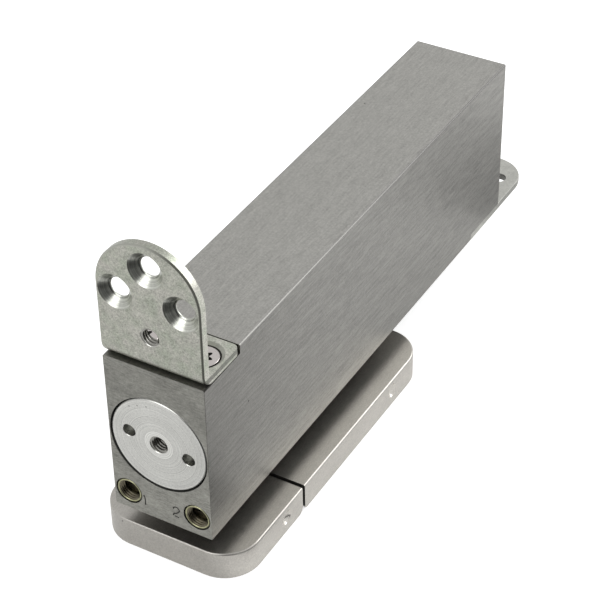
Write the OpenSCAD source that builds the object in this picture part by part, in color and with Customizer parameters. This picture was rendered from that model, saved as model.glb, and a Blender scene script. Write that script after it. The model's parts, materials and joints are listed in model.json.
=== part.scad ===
// Concealed door closer that stands in a mortise at the foot of a door.
// The block turns with the door about a square-ended spindle held in a floor plate.
// Origin: spindle axis at floor level. +Y runs from the spindle to the tail, +Z is up.

/* [Housing] */
// Width of the block
body_w = 34; // [33.5:0.5:40]
// Height of the block
body_h = 60; // [56:1:80]
// Length of the block
body_l = 194; // [180:2:240]
// Rounding of the block's long edges
body_edge = 0.5; // [0.2:0.1:1]
// Distance from the block's near end to the spindle axis
spindle_back = 38.5; // [38.5:0.5:46]
// Diameter of the cylinder bore
bore_d = 28; // [27.6:0.2:28.4]
// Height of the bore axis above the block's underside
bore_up = 29.7; // [28:0.1:31]
// Thickness of the closed end of the bore
tail_wall = 9; // [6:0.5:14]

/* [End plug] */
// Diameter of the plug's flange
plug_d = 32.6; // [30:0.1:32.8]
// Gap round the flange
plug_gap = 0.35; // [0.1:0.05:0.4]
// Thickness of the flange
flange_t = 4; // [3:0.5:5]
// Length of the whole plug
plug_l = 12; // [10:0.5:12]
// Distance of each spanner hole from the plug's centre
pin_hole_reach = 10.2; // [8:0.1:12]
// Diameter of a spanner hole
pin_hole_d = 4.2; // [3:0.1:5]
// Turn of the pair of spanner holes
pin_turn = 8; // [0:1:45]
// Diameter of the plug's puller thread
puller_d = 6; // [5:0.5:8]

/* [End bracket] */
// Thickness of the bracket's sheet
plate_t = 3; // [2.5:0.1:4]
// How much wider the bracket is than the block
bracket_over = 0.2; // [-2:0.1:1]
// Length of the bracket's foot
foot_l = 19; // [16:0.5:26]
// Height of the arch centre above the block
arch_up = 23; // [18:0.2:30]
// Height of the screw circle's centre above the block
hole_up = 21.4; // [17:0.2:28]
// Radius of the circle that the three screw holes lie on
hole_circle_r = 10.7; // [9:0.1:11]
// Diameter of a screw hole in the bracket
screw_hole_d = 6.2; // [5:0.1:6.4]
// Diameter of a countersink at the surface
sink_d = 11.5; // [9:0.1:12]
// Height of the tapped hole above the block
tapped_up = 9.4; // [7:0.2:12]
// Diameter of the tapped hole
tapped_d = 6; // [5:0.5:8]

/* [Tail plate] */
// Thickness of the tail plate
tail_t = 2.5; // [2:0.1:4]
// Reach of the tail plate beyond the block
tail_reach = 27; // [20:1:40]
// Length of the tail plate that lies under the block
tail_lap = 22; // [16:1:30]
// Radius of the tail plate's corners
tail_corner = 12; // [4:0.5:15]
// Spacing of the two holes in the tail plate
tail_pitch = 20; // [16:1:24]
// Diameter of a hole in the tail plate
tail_hole_d = 5.5; // [4:0.1:6.5]

/* [Floor plate and covers] */
// Width over the covers
cover_w = 51.2; // [48:0.4:60]
// Height of the covers above the floor
cover_h = 10; // [10:0.1:14]
// Reach of the near cover in front of the spindle
cover_near = 38.5; // [34:0.5:46]
// Reach of the far cover behind the spindle
cover_far = 82; // [70:1:110]
// Sheet thickness of the covers
cover_t = 1.2; // [1:0.1:1.4]
// Corner radius of the covers seen from above
cover_corner = 12; // [8:0.5:16]
// Radius of the covers' top edges
cover_edge = 1.7; // [1.5:0.1:2.2]
// Gap between the two covers
split_gap = 0.6; // [0.4:0.1:1]
// Gap between the covers and the block
under_gap = 6; // [4:0.5:8]
// Gap between a cover's wall and the floor plate
base_gap = 0.4; // [0.2:0.1:0.5]
// Distance of the near dimples in front of the spindle
dimple_near = 10.5; // [8:0.5:16]
// Distance of the far dimples behind the spindle
dimple_far = 58; // [40:1:64]
// Floor screw spacing across the plate
floor_pitch_x = 30; // [26:1:34]
// Floor screw spacing along the plate
floor_pitch_y = 84; // [76:1:88]
// Diameter of a floor screw hole
floor_hole_d = 6.4; // [5:0.1:7]

/* [Spindle and cam] */
// Diameter of the spindle in the lower bearing
spindle_d = 16; // [15:0.2:16.4]
// Width across the flats of the spindle's square end
square_w = 11.8; // [10:0.2:12]
// Diameter of the cam's seat
cam_seat_d = 12; // [11:0.2:12.4]
// Diameter of the spindle's upper journal
journal_d = 10; // [8:0.2:10.6]
// Distance from the spindle axis to the cam's notch
cam_base = 8.4; // [8.2:0.1:8.6]
// Rise of the cam for each radian that the door turns
cam_rise = 2.6; // [2.2:0.1:2.7]
// Largest opening of the door in degrees
door_max = 120; // [90:5:120]
// Thickness of the cam
cam_t = 8.6; // [7:0.2:8.8]
// Diameter of the cam roller
roller_d = 9; // [8:0.2:9.4]
// Diameter of the roller's pin
roller_pin_d = 4; // [3:0.2:4.6]

/* [Valves] */
// Distance of each valve from the block's middle
valve_out = 11.9; // [11:0.1:12]
// Height of the valves above the block's underside
valve_up = 6.8; // [6:0.1:8]
// Outer diameter of a valve sleeve
sleeve_d = 8.3; // [7.6:0.1:8.6]
// Inner diameter of a valve sleeve
sleeve_bore_d = 6.9; // [6:0.1:7.2]
// Diameter of the recess round a sleeve
sleeve_recess_d = 9.2; // [9:0.1:9.6]

/* [Spring] */
// Diameter of the spring's wire
wire_d = 4.8; // [3.6:0.2:5]
// Mean diameter of the coil
coil_d = 21; // [20.6:0.2:22]
// Distance from one coil to the next
coil_pitch = 7.6; // [7:0.2:10]

/* [Hidden] */

$fn = 64;

// Fits
run = 0.05;          // radial clearance of a running fit
slack = 0.1;         // clearance where pieces only lie in each other
over = 1;            // how far a cutter runs past the face that it cuts

// Places of the block
near_y = -spindle_back;
far_y = near_y + body_l;
body_z = cover_h + under_gap;
top_z = body_z + body_h;
bore_z = body_z + bore_up;
bore_r = bore_d / 2;
bore_end = far_y - tail_wall;

// Bracket
bracket_w = body_w + bracket_over;
recess_d = plate_t + 0.1;
recess_l = foot_l + 0.15;
seat_z = top_z - recess_d;
bend_in = 1.6;
bend_out = bend_in + plate_t;
arch_z = top_z + arch_up;
circle_z = top_z + hole_up;
tapped_z = top_z + tapped_up;
foot_screw_inset = 6.9;
foot_screw_x = body_w / 2 - foot_screw_inset;
foot_screw_back = 10.6;
foot_screw_y = near_y + foot_screw_back;
foot_sink_r = 5.5;
foot_head_r = 4.8;
foot_screw_r = 2.5;
foot_screw_l = 9;
foot_corner = 2;

// Tail plate
tail_from = far_y - tail_lap;
tail_to = far_y + tail_reach;
tail_screw_x = 9;
tail_screw_y = far_y - tail_lap / 2;
tail_screw_r = 2;
tail_head_r = 3.9;
tail_screw_l = 8;
tail_hole_edge = 12;
tail_hole_y = tail_to - tail_hole_edge;

// Cam and roller: the roller's centre lies on a spiral that rises evenly with the angle
roller_r = roller_d / 2;
pitch_0 = cam_base + roller_r + run;
lift = cam_rise * door_max * PI / 180;
roller_l = cam_t + 1;
cam_z = bore_z - cam_t / 2 - 0.3;
function pitch_r(a) = pitch_0 + cam_rise * a * PI / 180;
function pitch_point(a) = pitch_r(a) * [-sin(a), cos(a)];
function pitch_normal(a) =
    let (r = pitch_r(a), n = sqrt(r * r + cam_rise * cam_rise))
    [(-r * sin(a) + cam_rise * cos(a)) / n, (r * cos(a) + cam_rise * sin(a)) / n];
function cam_point(a) = pitch_point(a) - (roller_r + run) * pitch_normal(a);
notch_turn = atan(cam_rise / pitch_0);
cam_end = cam_point(door_max);
cam_reach = norm(cam_end);
end_turn = 360 - atan2(-cam_end[0], -cam_end[1]) - 180;
cam_step = 3;

// Chamber for the cam and what closes it below
chamber_r = cam_reach + 0.6;
chamber_top = bore_z + bore_r / 2;

// Carriage
window_h = cam_t + 2;
piston_t = 6.2;
carriage_r = bore_r - run;
piston_back = -(cam_reach + lift);
piston_front = piston_back - piston_t;
fork_y = pitch_0 + roller_r + 0.6;
spring_face = fork_y + 6;
spigot_l = 5;
spigot_r = coil_d / 2 - wire_d / 2 - 0.3;
ring_y = piston_front + 3;
ring_r = 0.9;
check_up = 8.5;
check_r = 1.5;
ball_r = 1.4;

// Spindle
collar_r = spindle_d / 2 + 1;
square_top = cover_h - cover_t - 0.3;
shaft_top = cam_z - slack;
seat_top = cam_z + cam_t + 1.4;
bush_l = 7;
bush_wall = 2.4;
disc_t = 1.4;
bush_z = bore_z + bore_r + 0.4;
pocket_top = bush_z + bush_l + disc_t;
key_w = 3;
key_out = 1.4;
clip_t = 0.9;
clip_out = 1.8;

// Lower bearing
needle_d = 2;
needle_n = 24;
needle_ring = spindle_d / 2 + run + needle_d / 2;
shell_in = needle_ring + needle_d / 2 + run;
shell_out = shell_in + 1.9;
carrier_r = chamber_r - run;
carrier_top = bore_z - carriage_r - 1.2;
carrier_lip = 1.4;
seal_t = 3.6;
seal_z = body_z + carrier_lip;
shell_z = seal_z + seal_t;
carrier_ring_r = 0.9;
carrier_ring_z = body_z + 8;

// Valves
valve_z = body_z + valve_up;
sleeve_l = 14;
sleeve_back = near_y + sleeve_l;
needle_r = sleeve_bore_d / 2 - 0.1;
needle_face = near_y + 3.2;
needle_head = 5;
needle_stem_r = 2;
needle_tip_y = sleeve_back + 2.6;
passage_r = 1;

// Floor plate
base_t = cover_h - cover_t - 0.3;
base_w = cover_w - 2 * cover_t - 2 * base_gap;
base_near = cover_near - cover_t - base_gap;
base_far = cover_far - cover_t - base_gap;
base_corner = cover_corner - cover_t - base_gap;
floor_mid = (base_far - base_near) / 2;
socket_r = square_w * 0.95;
socket_flange_r = socket_r + 2;
socket_flange_t = 2;
cover_lift = 0.25;
notch_r = collar_r + 1;

// Dimples: a dent pressed into a cover's side, and the groove that it rides in
dimple_z = cover_h - 4.1;
dent_depth = 0.8;
dent_r = 3.7;
dent_x = cover_w / 2 - dent_depth + dent_r;
bump_r = dent_r + cover_t - 0.1;
groove_r = bump_r + 0.15;

// Spring
seat_disc_t = 3;
seat_face = bore_end - seat_disc_t;
coil_gap = 0.15;
spring_from = spring_face + wire_d / 2 + coil_gap;
spring_to = seat_face - wire_d / 2 - coil_gap;
end_pitch = wire_d + 0.6;
spring_l = spring_to - spring_from;
turns = 2 + (spring_l - 2 * end_pitch) / coil_pitch;
ring_steps = 12;
wire_sides = 6;
function coil_y(t) =
    t < 1 ? end_pitch * t :
    t > turns - 1 ? spring_l - end_pitch * (turns - t) :
    end_pitch + (spring_l - 2 * end_pitch) * (t - 1) / (turns - 2);

// A plate with round corners, in plan
module round_plate(w, y0, y1, r) {
    translate([-w / 2 + r, y0])
        square([w - 2 * r, y1 - y0]);
    translate([-w / 2, y0 + r])
        square([w, y1 - y0 - 2 * r]);
    for (x = [-w / 2 + r, w / 2 - r], y = [y0 + r, y1 - r])
        translate([x, y])
            circle(r);
}

// Section of a pan: square below, rounded edges above
module pan_section(w, h, edge) {
    translate([-w / 2, 0])
        square([w, h - edge]);
    translate([-w / 2 + edge, 0])
        square([w - 2 * edge, h]);
    for (x = [-w / 2 + edge, w / 2 - edge])
        translate([x, h - edge])
            circle(edge);
}

// A block with round corners and rounded top edges
module pan(w, y0, y1, h, corner, edge) {
    translate([0, y1 - corner, 0])
        rotate([90, 0, 0])
            linear_extrude(y1 - y0 - 2 * corner)
                pan_section(w, h, edge);
    translate([-w / 2 + corner, (y0 + y1) / 2, 0])
        rotate([90, 0, 90])
            linear_extrude(w - 2 * corner)
                pan_section(y1 - y0, h, edge);
    for (x = [-w / 2 + corner, w / 2 - corner], y = [y0 + corner, y1 - corner])
        translate([x, y, 0])
            rotate_extrude()
                intersection() {
                    pan_section(2 * corner, h, edge);
                    square([corner, h]);
                }
}

// A cylinder along Y
module y_rod(r, y0, y1, x = 0, z = 0) {
    translate([x, y1, z])
        rotate([90, 0, 0])
            cylinder(h = y1 - y0, r = r);
}

// A cone along Y
module y_cone(r0, r1, y0, y1, x = 0, z = 0) {
    translate([x, y1, z])
        rotate([90, 0, 0])
            cylinder(h = y1 - y0, r1 = r1, r2 = r0);
}

// A round ring along Y, such as an O-ring
module y_ring(mean_r, wire_r, y, x = 0, z = 0) {
    translate([x, y, z])
        rotate([90, 0, 0])
            rotate_extrude()
                translate([mean_r, 0])
                    circle(wire_r);
}

// A slot that goes through along Z
module z_slot(r, y0, y1, z0, z1) {
    for (y = [y0, y1])
        translate([0, y, z0])
            cylinder(h = z1 - z0, r = r);
    translate([-r, y0, z0])
        cube([2 * r, y1 - y0, z1 - z0]);
}

// Six-lobed socket of a screw, cut downwards from z = 0
module lobed_socket(mean, swell, depth) {
    translate([0, 0, -depth])
        linear_extrude(depth + over)
            polygon([for (a = [0:5:355]) (mean + swell * cos(6 * a)) * [cos(a), sin(a)]]);
}

// Countersunk screw: head at z = 0, thread below
module sunk_screw(head_r, r, l) {
    difference() {
        union() {
            translate([0, 0, -(head_r - r)])
                cylinder(h = head_r - r, r1 = r, r2 = head_r);
            translate([0, 0, -l])
                cylinder(h = l, r = r);
        }
        lobed_socket(head_r * 0.4, head_r * 0.07, head_r * 0.36);
    }
}

// Floor plate with countersunk floor screw holes and a groove for the dimples
module base_plate() {
    color("dimgray")
        difference() {
            linear_extrude(base_t)
                round_plate(base_w, -base_near, base_far, base_corner);
            translate([0, 0, -over])
                cylinder(h = base_t + 2 * over, r = socket_r + run);
            translate([0, 0, -over])
                cylinder(h = socket_flange_t + slack + over, r = socket_flange_r + slack);
            for (x = [-1, 1] * floor_pitch_x / 2, y = [-1, 1] * floor_pitch_y / 2)
                translate([x, floor_mid + y, 0]) {
                    translate([0, 0, -over])
                        cylinder(h = base_t + 2 * over, r = floor_hole_d / 2);
                    translate([0, 0, base_t - 3])
                        cylinder(h = 3, r1 = floor_hole_d / 2, r2 = floor_hole_d / 2 + 3);
                }
            for (side = [-1, 1])
                y_rod(groove_r, -base_near - over, base_far + over, side * dent_x, dimple_z);
        }
}

// Hardened bush with the square hole that holds the spindle still
module spindle_socket() {
    color("gray")
        difference() {
            union() {
                cylinder(h = base_t, r = socket_r);
                cylinder(h = socket_flange_t, r = socket_flange_r);
            }
            translate([-square_w / 2 - run, -square_w / 2 - run, -over])
                cube([square_w + 2 * run, square_w + 2 * run, base_t + 2 * over]);
        }
}

// Spindle: square end, collar, lower journal, cam seat and upper journal
module spindle() {
    color("slategray")
        difference() {
            union() {
                intersection() {
                    translate([-square_w / 2, -square_w / 2, 0.5])
                        cube([square_w, square_w, square_top]);
                    translate([0, 0, 0.5])
                        cylinder(h = square_top, r = square_w * 0.66);
                }
                translate([0, 0, square_top])
                    cylinder(h = body_z - square_top - 2, r = collar_r);
                translate([0, 0, square_top])
                    cylinder(h = shaft_top - square_top, r = spindle_d / 2);
                translate([0, 0, shaft_top - over])
                    cylinder(h = seat_top - shaft_top + over, r = cam_seat_d / 2);
                translate([0, 0, seat_top - over])
                    cylinder(h = pocket_top - disc_t - seat_top + over, r = journal_d / 2);
            }
            translate([-key_w / 2 - run, -cam_seat_d / 2 - over, cam_z])
                cube([key_w + 2 * run, over + key_out + run, cam_t]);
            translate([0, 0, cam_z + cam_t + slack])
                difference() {
                    cylinder(h = clip_t + slack, r = cam_seat_d);
                    translate([0, 0, -over])
                        cylinder(h = clip_t + slack + 2 * over, r = cam_seat_d / 2 - 0.6);
                }
        }
}

// Outline of one half of the cam, from the notch to the end of its rise
function half_cam(side) = [
    for (a = [0 : notch_turn / 3 : notch_turn - 0.01])
        [-side * (roller_r + run) * sin(a), pitch_0 - (roller_r + run) * cos(a)],
    for (a = [0 : cam_step : door_max])
        [side * cam_point(a)[0], cam_point(a)[1]]
];
function reversed(points) = [for (i = [len(points) - 1 : -1 : 1]) points[i]];

// Heart-shaped cam with the notch where the door stands shut
module heart_cam() {
    color("darkgray")
        translate([0, 0, cam_z])
            difference() {
                linear_extrude(cam_t)
                    difference() {
                        polygon(concat(
                            half_cam(1),
                            [for (a = [end_turn + cam_step : cam_step : 360 - end_turn - 0.1])
                                cam_reach * [-sin(a), cos(a)]],
                            reversed(half_cam(-1))
                        ));
                        circle(cam_seat_d / 2 + run);
                    }
                translate([-key_w / 2 - run, -cam_seat_d / 2 - key_out - run, -over])
                    cube([key_w + 2 * run, cam_seat_d / 2, cam_t + 2 * over]);
            }
}

module cam_key() {
    color("silver")
        translate([-key_w / 2, -cam_seat_d / 2 - key_out, cam_z + run])
            cube([key_w, 2 * key_out - run, cam_t - 2 * run]);
}

// Retaining ring that keeps the cam on its seat
module cam_circlip() {
    color("dimgray")
        translate([0, 0, cam_z + cam_t + 1.5 * slack])
            difference() {
                cylinder(h = clip_t, r = cam_seat_d / 2 + clip_out);
                translate([0, 0, -over])
                    cylinder(h = clip_t + 2 * over, r = cam_seat_d / 2 - 0.55);
                translate([-2, -cam_seat_d, -over])
                    cube([4, cam_seat_d, clip_t + 2 * over]);
            }
}

// The pressed cover as one shell, before it is split
module cover_shell() {
    difference() {
        translate([0, 0, cover_lift])
            pan(cover_w, -cover_near, cover_far, cover_h - cover_lift, cover_corner, cover_edge);
        translate([0, 0, -over])
            pan(cover_w - 2 * cover_t, -cover_near + cover_t, cover_far - cover_t,
                cover_h - cover_t + over, cover_corner - cover_t, cover_edge - cover_t);
        translate([0, 0, -over])
            cylinder(h = cover_h + 2 * over, r = notch_r);
    }
}

// One cover half: the shell between two planes, with a dimple on each side
module cover_half(y0, y1, dimple_y) {
    difference() {
        union() {
            intersection() {
                cover_shell();
                translate([-cover_w, y0, -over])
                    cube([2 * cover_w, y1 - y0, cover_h + 2 * over]);
            }
            for (side = [-1, 1])
                intersection() {
                    translate([side * dent_x, dimple_y, dimple_z])
                        sphere(bump_r);
                    translate([side * (cover_w / 2 - cover_t / 2) - dent_r / 2, dimple_y - dent_r, 0])
                        cube([dent_r, 2 * dent_r, cover_h]);
                    translate([-cover_w / 2 + cover_t / 2, dimple_y - dent_r, 0])
                        cube([cover_w - cover_t, 2 * dent_r, cover_h]);
                }
        }
        for (side = [-1, 1])
            translate([side * dent_x, dimple_y, dimple_z])
                sphere(dent_r);
    }
}

module near_cover() {
    color("lightgray")
        cover_half(-cover_near - over, -split_gap / 2, -dimple_near);
}

module far_cover() {
    color("lightgray")
        cover_half(split_gap / 2, cover_far + over, dimple_far);
}

// Block with the cylinder bore, the cam chamber and the valve holes
module housing() {
    color("silver")
        difference() {
            translate([0, far_y, body_z])
                rotate([90, 0, 0])
                    linear_extrude(body_l)
                        translate([0, body_h / 2])
                            round_plate(body_w, -body_h / 2, body_h / 2, body_edge);
            y_rod(bore_r, near_y - over, bore_end, 0, bore_z);
            y_rod(plug_d / 2 + plug_gap, near_y - over, near_y + flange_t, 0, bore_z);
            translate([0, 0, body_z - over])
                cylinder(h = chamber_top - body_z + over, r = chamber_r);
            translate([0, 0, bore_z])
                cylinder(h = pocket_top - bore_z, r = journal_d / 2 + run + bush_wall + run);
            translate([-body_w, near_y - over, seat_z])
                cube([2 * body_w, recess_l + over, recess_d + over]);
            translate([-body_w, tail_from - 0.2, body_z - over])
                cube([2 * body_w, tail_lap + 0.2 + over, tail_t + over]);
            for (x = [-1, 1] * foot_screw_x)
                translate([x, foot_screw_y, seat_z - foot_screw_l])
                    cylinder(h = foot_screw_l + over, r = foot_screw_r + run);
            for (x = [-1, 1] * tail_screw_x)
                translate([x, tail_screw_y, body_z])
                    cylinder(h = tail_screw_l + tail_t, r = tail_screw_r + run);
            for (x = [-1, 1] * valve_out) {
                y_rod(sleeve_recess_d / 2, near_y - over, near_y + 1.6, x, valve_z);
                y_rod(sleeve_d / 2 + run, near_y - over, sleeve_back, x, valve_z);
                y_rod(needle_stem_r + 0.4, sleeve_back - over, needle_tip_y + 1, x, valve_z);
                for (y = [near_y + plug_l + 0.5, needle_tip_y])
                    translate([x, y, valve_z])
                        cylinder(h = bore_up - valve_up - bore_r / 2, r = passage_r);
            }
        }
}

// Flanged plug that closes the bore, with spanner holes and a puller thread
module end_plug() {
    back = near_y + plug_l;
    color("gainsboro")
        difference() {
            union() {
                y_rod(plug_d / 2, near_y + 0.3, near_y + flange_t, 0, bore_z);
                y_cone(plug_d / 2 - 0.3, plug_d / 2, near_y, near_y + 0.3, 0, bore_z);
                y_rod(bore_r - run, near_y + flange_t, back, 0, bore_z);
            }
            y_rod(puller_d / 2, near_y - over, near_y + plug_l - 2.5, 0, bore_z);
            y_cone(puller_d / 2 + 1.8, puller_d / 2, near_y, near_y + 0.8, 0, bore_z);
            for (turn = [pin_turn, pin_turn + 180])
                translate([0, 0, bore_z])
                    rotate([0, turn, 0])
                        y_rod(pin_hole_d / 2, near_y - over, near_y + flange_t + 1, pin_hole_reach, 0);
            translate([0, 0, bore_z])
                difference() {
                    y_rod(bore_r + over, back - 4.4, back - 2.2);
                    y_rod(bore_r - 1.8, back - 5, back - 1.6);
                }
        }
}

module plug_seal() {
    color("black")
        y_ring(bore_r - 0.95, 0.8, near_y + plug_l - 3.3, 0, bore_z);
}

// Side section of the bracket: an upright, a bend and a foot
module bracket_section() {
    translate([near_y, seat_z + bend_out])
        square([plate_t, arch_up + bracket_w + recess_d]);
    translate([near_y + bend_out, seat_z])
        square([foot_l - bend_out, plate_t]);
    translate([near_y + bend_out, seat_z + bend_out])
        difference() {
            circle(bend_out);
            circle(bend_in);
            translate([0, -2 * bend_out])
                square([2 * bend_out, 4 * bend_out]);
            translate([-2 * bend_out, 0])
                square([4 * bend_out, 2 * bend_out]);
        }
}

// Bracket on the near end: an arched plate that screws into the edge of the door
module end_bracket() {
    half = bracket_w / 2;
    color("#b4b6ae")
        difference() {
            intersection() {
                translate([-half, 0, 0])
                    rotate([90, 0, 90])
                        linear_extrude(bracket_w)
                            bracket_section();
                translate([0, near_y + foot_l + over, 0])
                    rotate([90, 0, 0])
                        linear_extrude(foot_l + 2 * over) {
                            translate([-half, seat_z - over])
                                square([bracket_w, arch_z - seat_z + over]);
                            translate([0, arch_z])
                                circle(half);
                        }
                translate([0, 0, seat_z - over])
                    linear_extrude(arch_up + bracket_w + recess_d + 2 * over)
                        round_plate(bracket_w, near_y - foot_corner, near_y + foot_l, foot_corner);
            }
            for (turn = [0, 90, 180])
                translate([0, 0, circle_z])
                    rotate([0, -turn, 0]) {
                        y_rod(screw_hole_d / 2, near_y - over, near_y + plate_t + over, hole_circle_r, 0);
                        y_cone(sink_d / 2, screw_hole_d / 2, near_y,
                            near_y + (sink_d - screw_hole_d) / 2, hole_circle_r, 0);
                    }
            y_rod(tapped_d / 2, near_y - over, near_y + plate_t + over, 0, tapped_z);
            for (x = [-1, 1] * foot_screw_x)
                translate([x, foot_screw_y, seat_z]) {
                    translate([0, 0, -over])
                        cylinder(h = plate_t + 2 * over, r = foot_screw_r + run);
                    translate([0, 0, plate_t - (foot_sink_r - foot_screw_r)])
                        cylinder(h = foot_sink_r - foot_screw_r + run,
                            r1 = foot_screw_r + run, r2 = foot_sink_r + 2 * run);
                }
        }
}

module bracket_screws() {
    color("whitesmoke")
        for (x = [-1, 1] * foot_screw_x)
            translate([x, foot_screw_y, seat_z + plate_t - (foot_sink_r - foot_head_r)])
                sunk_screw(foot_head_r, foot_screw_r, plate_t + foot_screw_l - 2);
}

// Tongue under the tail end that screws to the bottom of the door
module tail_plate() {
    color("#b4b6ae")
        difference() {
            translate([0, 0, body_z])
                linear_extrude(tail_t)
                    difference() {
                        union() {
                            translate([-body_w / 2, tail_from])
                                square([body_w, 2 * tail_corner]);
                            round_plate(body_w, tail_from, tail_to, tail_corner);
                        }
                        for (x = [-1, 1] * tail_pitch / 2)
                            translate([x, tail_hole_y])
                                circle(tail_hole_d / 2);
                        for (x = [-1, 1] * tail_screw_x)
                            translate([x, tail_screw_y])
                                circle(tail_screw_r + run);
                    }
            for (x = [-1, 1] * tail_screw_x)
                translate([x, tail_screw_y, body_z - run])
                    cylinder(h = tail_head_r - tail_screw_r + run,
                        r1 = tail_head_r + 2 * run, r2 = tail_screw_r + run);
        }
}

module tail_screws() {
    color("whitesmoke")
        for (x = [-1, 1] * tail_screw_x)
            translate([x, tail_screw_y, body_z])
                mirror([0, 0, 1])
                    sunk_screw(tail_head_r, tail_screw_r, tail_screw_l);
}

// Screwed carrier that closes the chamber and holds the lower bearing and the shaft seal
module bearing_carrier() {
    color("darkgray")
        difference() {
            translate([0, 0, body_z])
                cylinder(h = carrier_top - body_z, r = carrier_r);
            translate([0, 0, body_z - over])
                cylinder(h = carrier_top - body_z + 2 * over, r = spindle_d / 2 + 0.6);
            translate([0, 0, seal_z])
                cylinder(h = carrier_top - seal_z + over, r = shell_out + run);
            translate([0, 0, carrier_ring_z])
                difference() {
                    translate([0, 0, -1.1])
                        cylinder(h = 2.2, r = carrier_r + over);
                    translate([0, 0, -2])
                        cylinder(h = 4, r = carrier_r - 1.5);
                }
            for (turn = [45 : 90 : 315])
                rotate([0, 0, turn])
                    translate([(spindle_d / 2 + carrier_r) / 2, 0, body_z - over])
                        cylinder(h = over + carrier_lip - 0.2, r = 1.2);
        }
}

module carrier_seal() {
    color("black")
        translate([0, 0, carrier_ring_z])
            rotate_extrude()
                translate([carrier_r - 0.65, 0])
                    circle(0.7);
}

module bearing_shell() {
    color("silver")
        translate([0, 0, shell_z + slack])
            difference() {
                cylinder(h = carrier_top - shell_z - slack, r = shell_out);
                translate([0, 0, -over])
                    cylinder(h = carrier_top - shell_z + 2 * over, r = shell_in);
            }
}

// Needle rollers between the shell and the spindle
module bearing_needles() {
    color("gainsboro")
        for (i = [0 : needle_n - 1])
            rotate([0, 0, i * 360 / needle_n])
                translate([needle_ring, 0, shell_z + 4 * slack])
                    cylinder(h = carrier_top - shell_z - 7 * slack, d = needle_d, $fn = 24);
}

// Shaft seal with a lip towards the spindle
module spindle_seal() {
    color("black")
        translate([0, 0, seal_z + slack])
            rotate_extrude()
                polygon([
                    [spindle_d / 2 + 2 * run, 1.2],
                    [spindle_d / 2 + 1.6, 0],
                    [shell_out - run, 0],
                    [shell_out - run, seal_t - 2 * slack],
                    [shell_out - 1, seal_t - 2 * slack],
                    [shell_out - 1, 1.2],
                    [spindle_d / 2 + 1.6, 1.4],
                    [spindle_d / 2 + 1.4, 2.6],
                    [spindle_d / 2 + 2 * run, 1.8]
                ]);
}

module upper_bush() {
    color("darkkhaki")
        translate([0, 0, bush_z])
            difference() {
                cylinder(h = bush_l, r = journal_d / 2 + run + bush_wall);
                translate([0, 0, -over])
                    cylinder(h = bush_l + 2 * over, r = journal_d / 2 + run);
            }
}

// Disc that carries the weight of the door on the top of the spindle
module thrust_disc() {
    color("darkkhaki")
        translate([0, 0, pocket_top - disc_t])
            cylinder(h = disc_t, r = journal_d / 2 + bush_wall);
}

// Threaded sleeve of a valve, open towards the end of the block
module valve_sleeve(x) {
    color("#a8a26a")
        difference() {
            y_rod(sleeve_d / 2, near_y + 0.2, sleeve_back - 0.2, x, valve_z);
            y_rod(sleeve_bore_d / 2, near_y - over, needle_face + needle_head + slack, x, valve_z);
            y_cone(sleeve_bore_d / 2 + 0.45, sleeve_bore_d / 2, near_y + 0.2, near_y + 0.65, x, valve_z);
            y_rod(needle_stem_r + slack, near_y, sleeve_back + over, x, valve_z);
        }
}

// Needle screw of a valve: slotted head, stem and tapered tip
module valve_needle(x) {
    color("#6d6b55")
        difference() {
            union() {
                y_rod(needle_r, needle_face, needle_face + needle_head, x, valve_z);
                y_rod(needle_stem_r, needle_face + needle_head - over, sleeve_back, x, valve_z);
                y_cone(needle_stem_r, 0.5, sleeve_back, needle_tip_y, x, valve_z);
            }
            translate([x - needle_r - over, needle_face - over, valve_z - 0.5])
                cube([2 * needle_r + 2 * over, over + 1.4, 1]);
            translate([x, 0, valve_z])
                difference() {
                    y_rod(needle_r + over, needle_face + 2.4, needle_face + 4.2);
                    y_rod(needle_r - 1.3, needle_face + 2, needle_face + 4.6);
                }
        }
}

module needle_seal(x) {
    color("black")
        y_ring(needle_r - 0.65, 0.6, needle_face + 3.3, x, valve_z);
}

// Carriage in the bore: damping piston, two slotted arms past the cam, spring end
module carriage() {
    color("lightsteelblue")
        difference() {
            union() {
                y_rod(carriage_r, piston_front, spring_face, 0, bore_z);
                y_rod(spigot_r, spring_face - over, spring_face + spigot_l, 0, bore_z);
            }
            translate([-bore_d, piston_back, bore_z - window_h / 2])
                cube([2 * bore_d, fork_y - piston_back, window_h]);
            z_slot(spindle_d / 2 + 0.6, -lift, 0, bore_z - bore_r - over, bore_z);
            z_slot(cam_seat_d / 2 + 0.6, -lift, 0, bore_z, bore_z + bore_r + over);
            translate([0, pitch_0, bore_z - bore_r])
                cylinder(h = bore_d, r = roller_pin_d / 2 + run);
            translate([0, 0, bore_z])
                difference() {
                    y_rod(carriage_r + over, ring_y - 1.1, ring_y + 1.1);
                    y_rod(carriage_r - 1.9, ring_y - 2, ring_y + 2);
                }
            y_rod(0.8, piston_front - over, piston_back + over, 0, bore_z + check_up);
            y_rod(check_r + run, piston_back - 3.6, piston_back + over, 0, bore_z + check_up);
        }
}

module piston_ring() {
    color("black")
        y_ring(carriage_r - 0.95, 0.85, ring_y, 0, bore_z);
}

// Ball of the check valve that lets oil through as the door opens
module check_ball() {
    color("gainsboro")
        translate([0, piston_back - 2.05, bore_z + check_up])
            sphere(ball_r);
}

module ball_cage() {
    color("darkkhaki")
        difference() {
            y_rod(check_r, piston_back - 0.55, piston_back, 0, bore_z + check_up);
            y_rod(0.6, piston_back - over, piston_back + over, 0, bore_z + check_up);
        }
}

module roller_pin() {
    color("silver")
        translate([0, pitch_0, bore_z - roller_l])
            cylinder(h = 2 * roller_l, r = roller_pin_d / 2);
}

module cam_roller() {
    color("slategray")
        translate([0, pitch_0, bore_z - roller_l / 2])
            difference() {
                cylinder(h = roller_l, r = roller_r);
                translate([0, 0, -over])
                    cylinder(h = roller_l + 2 * over, r = roller_pin_d / 2 + run);
            }
}

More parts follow.
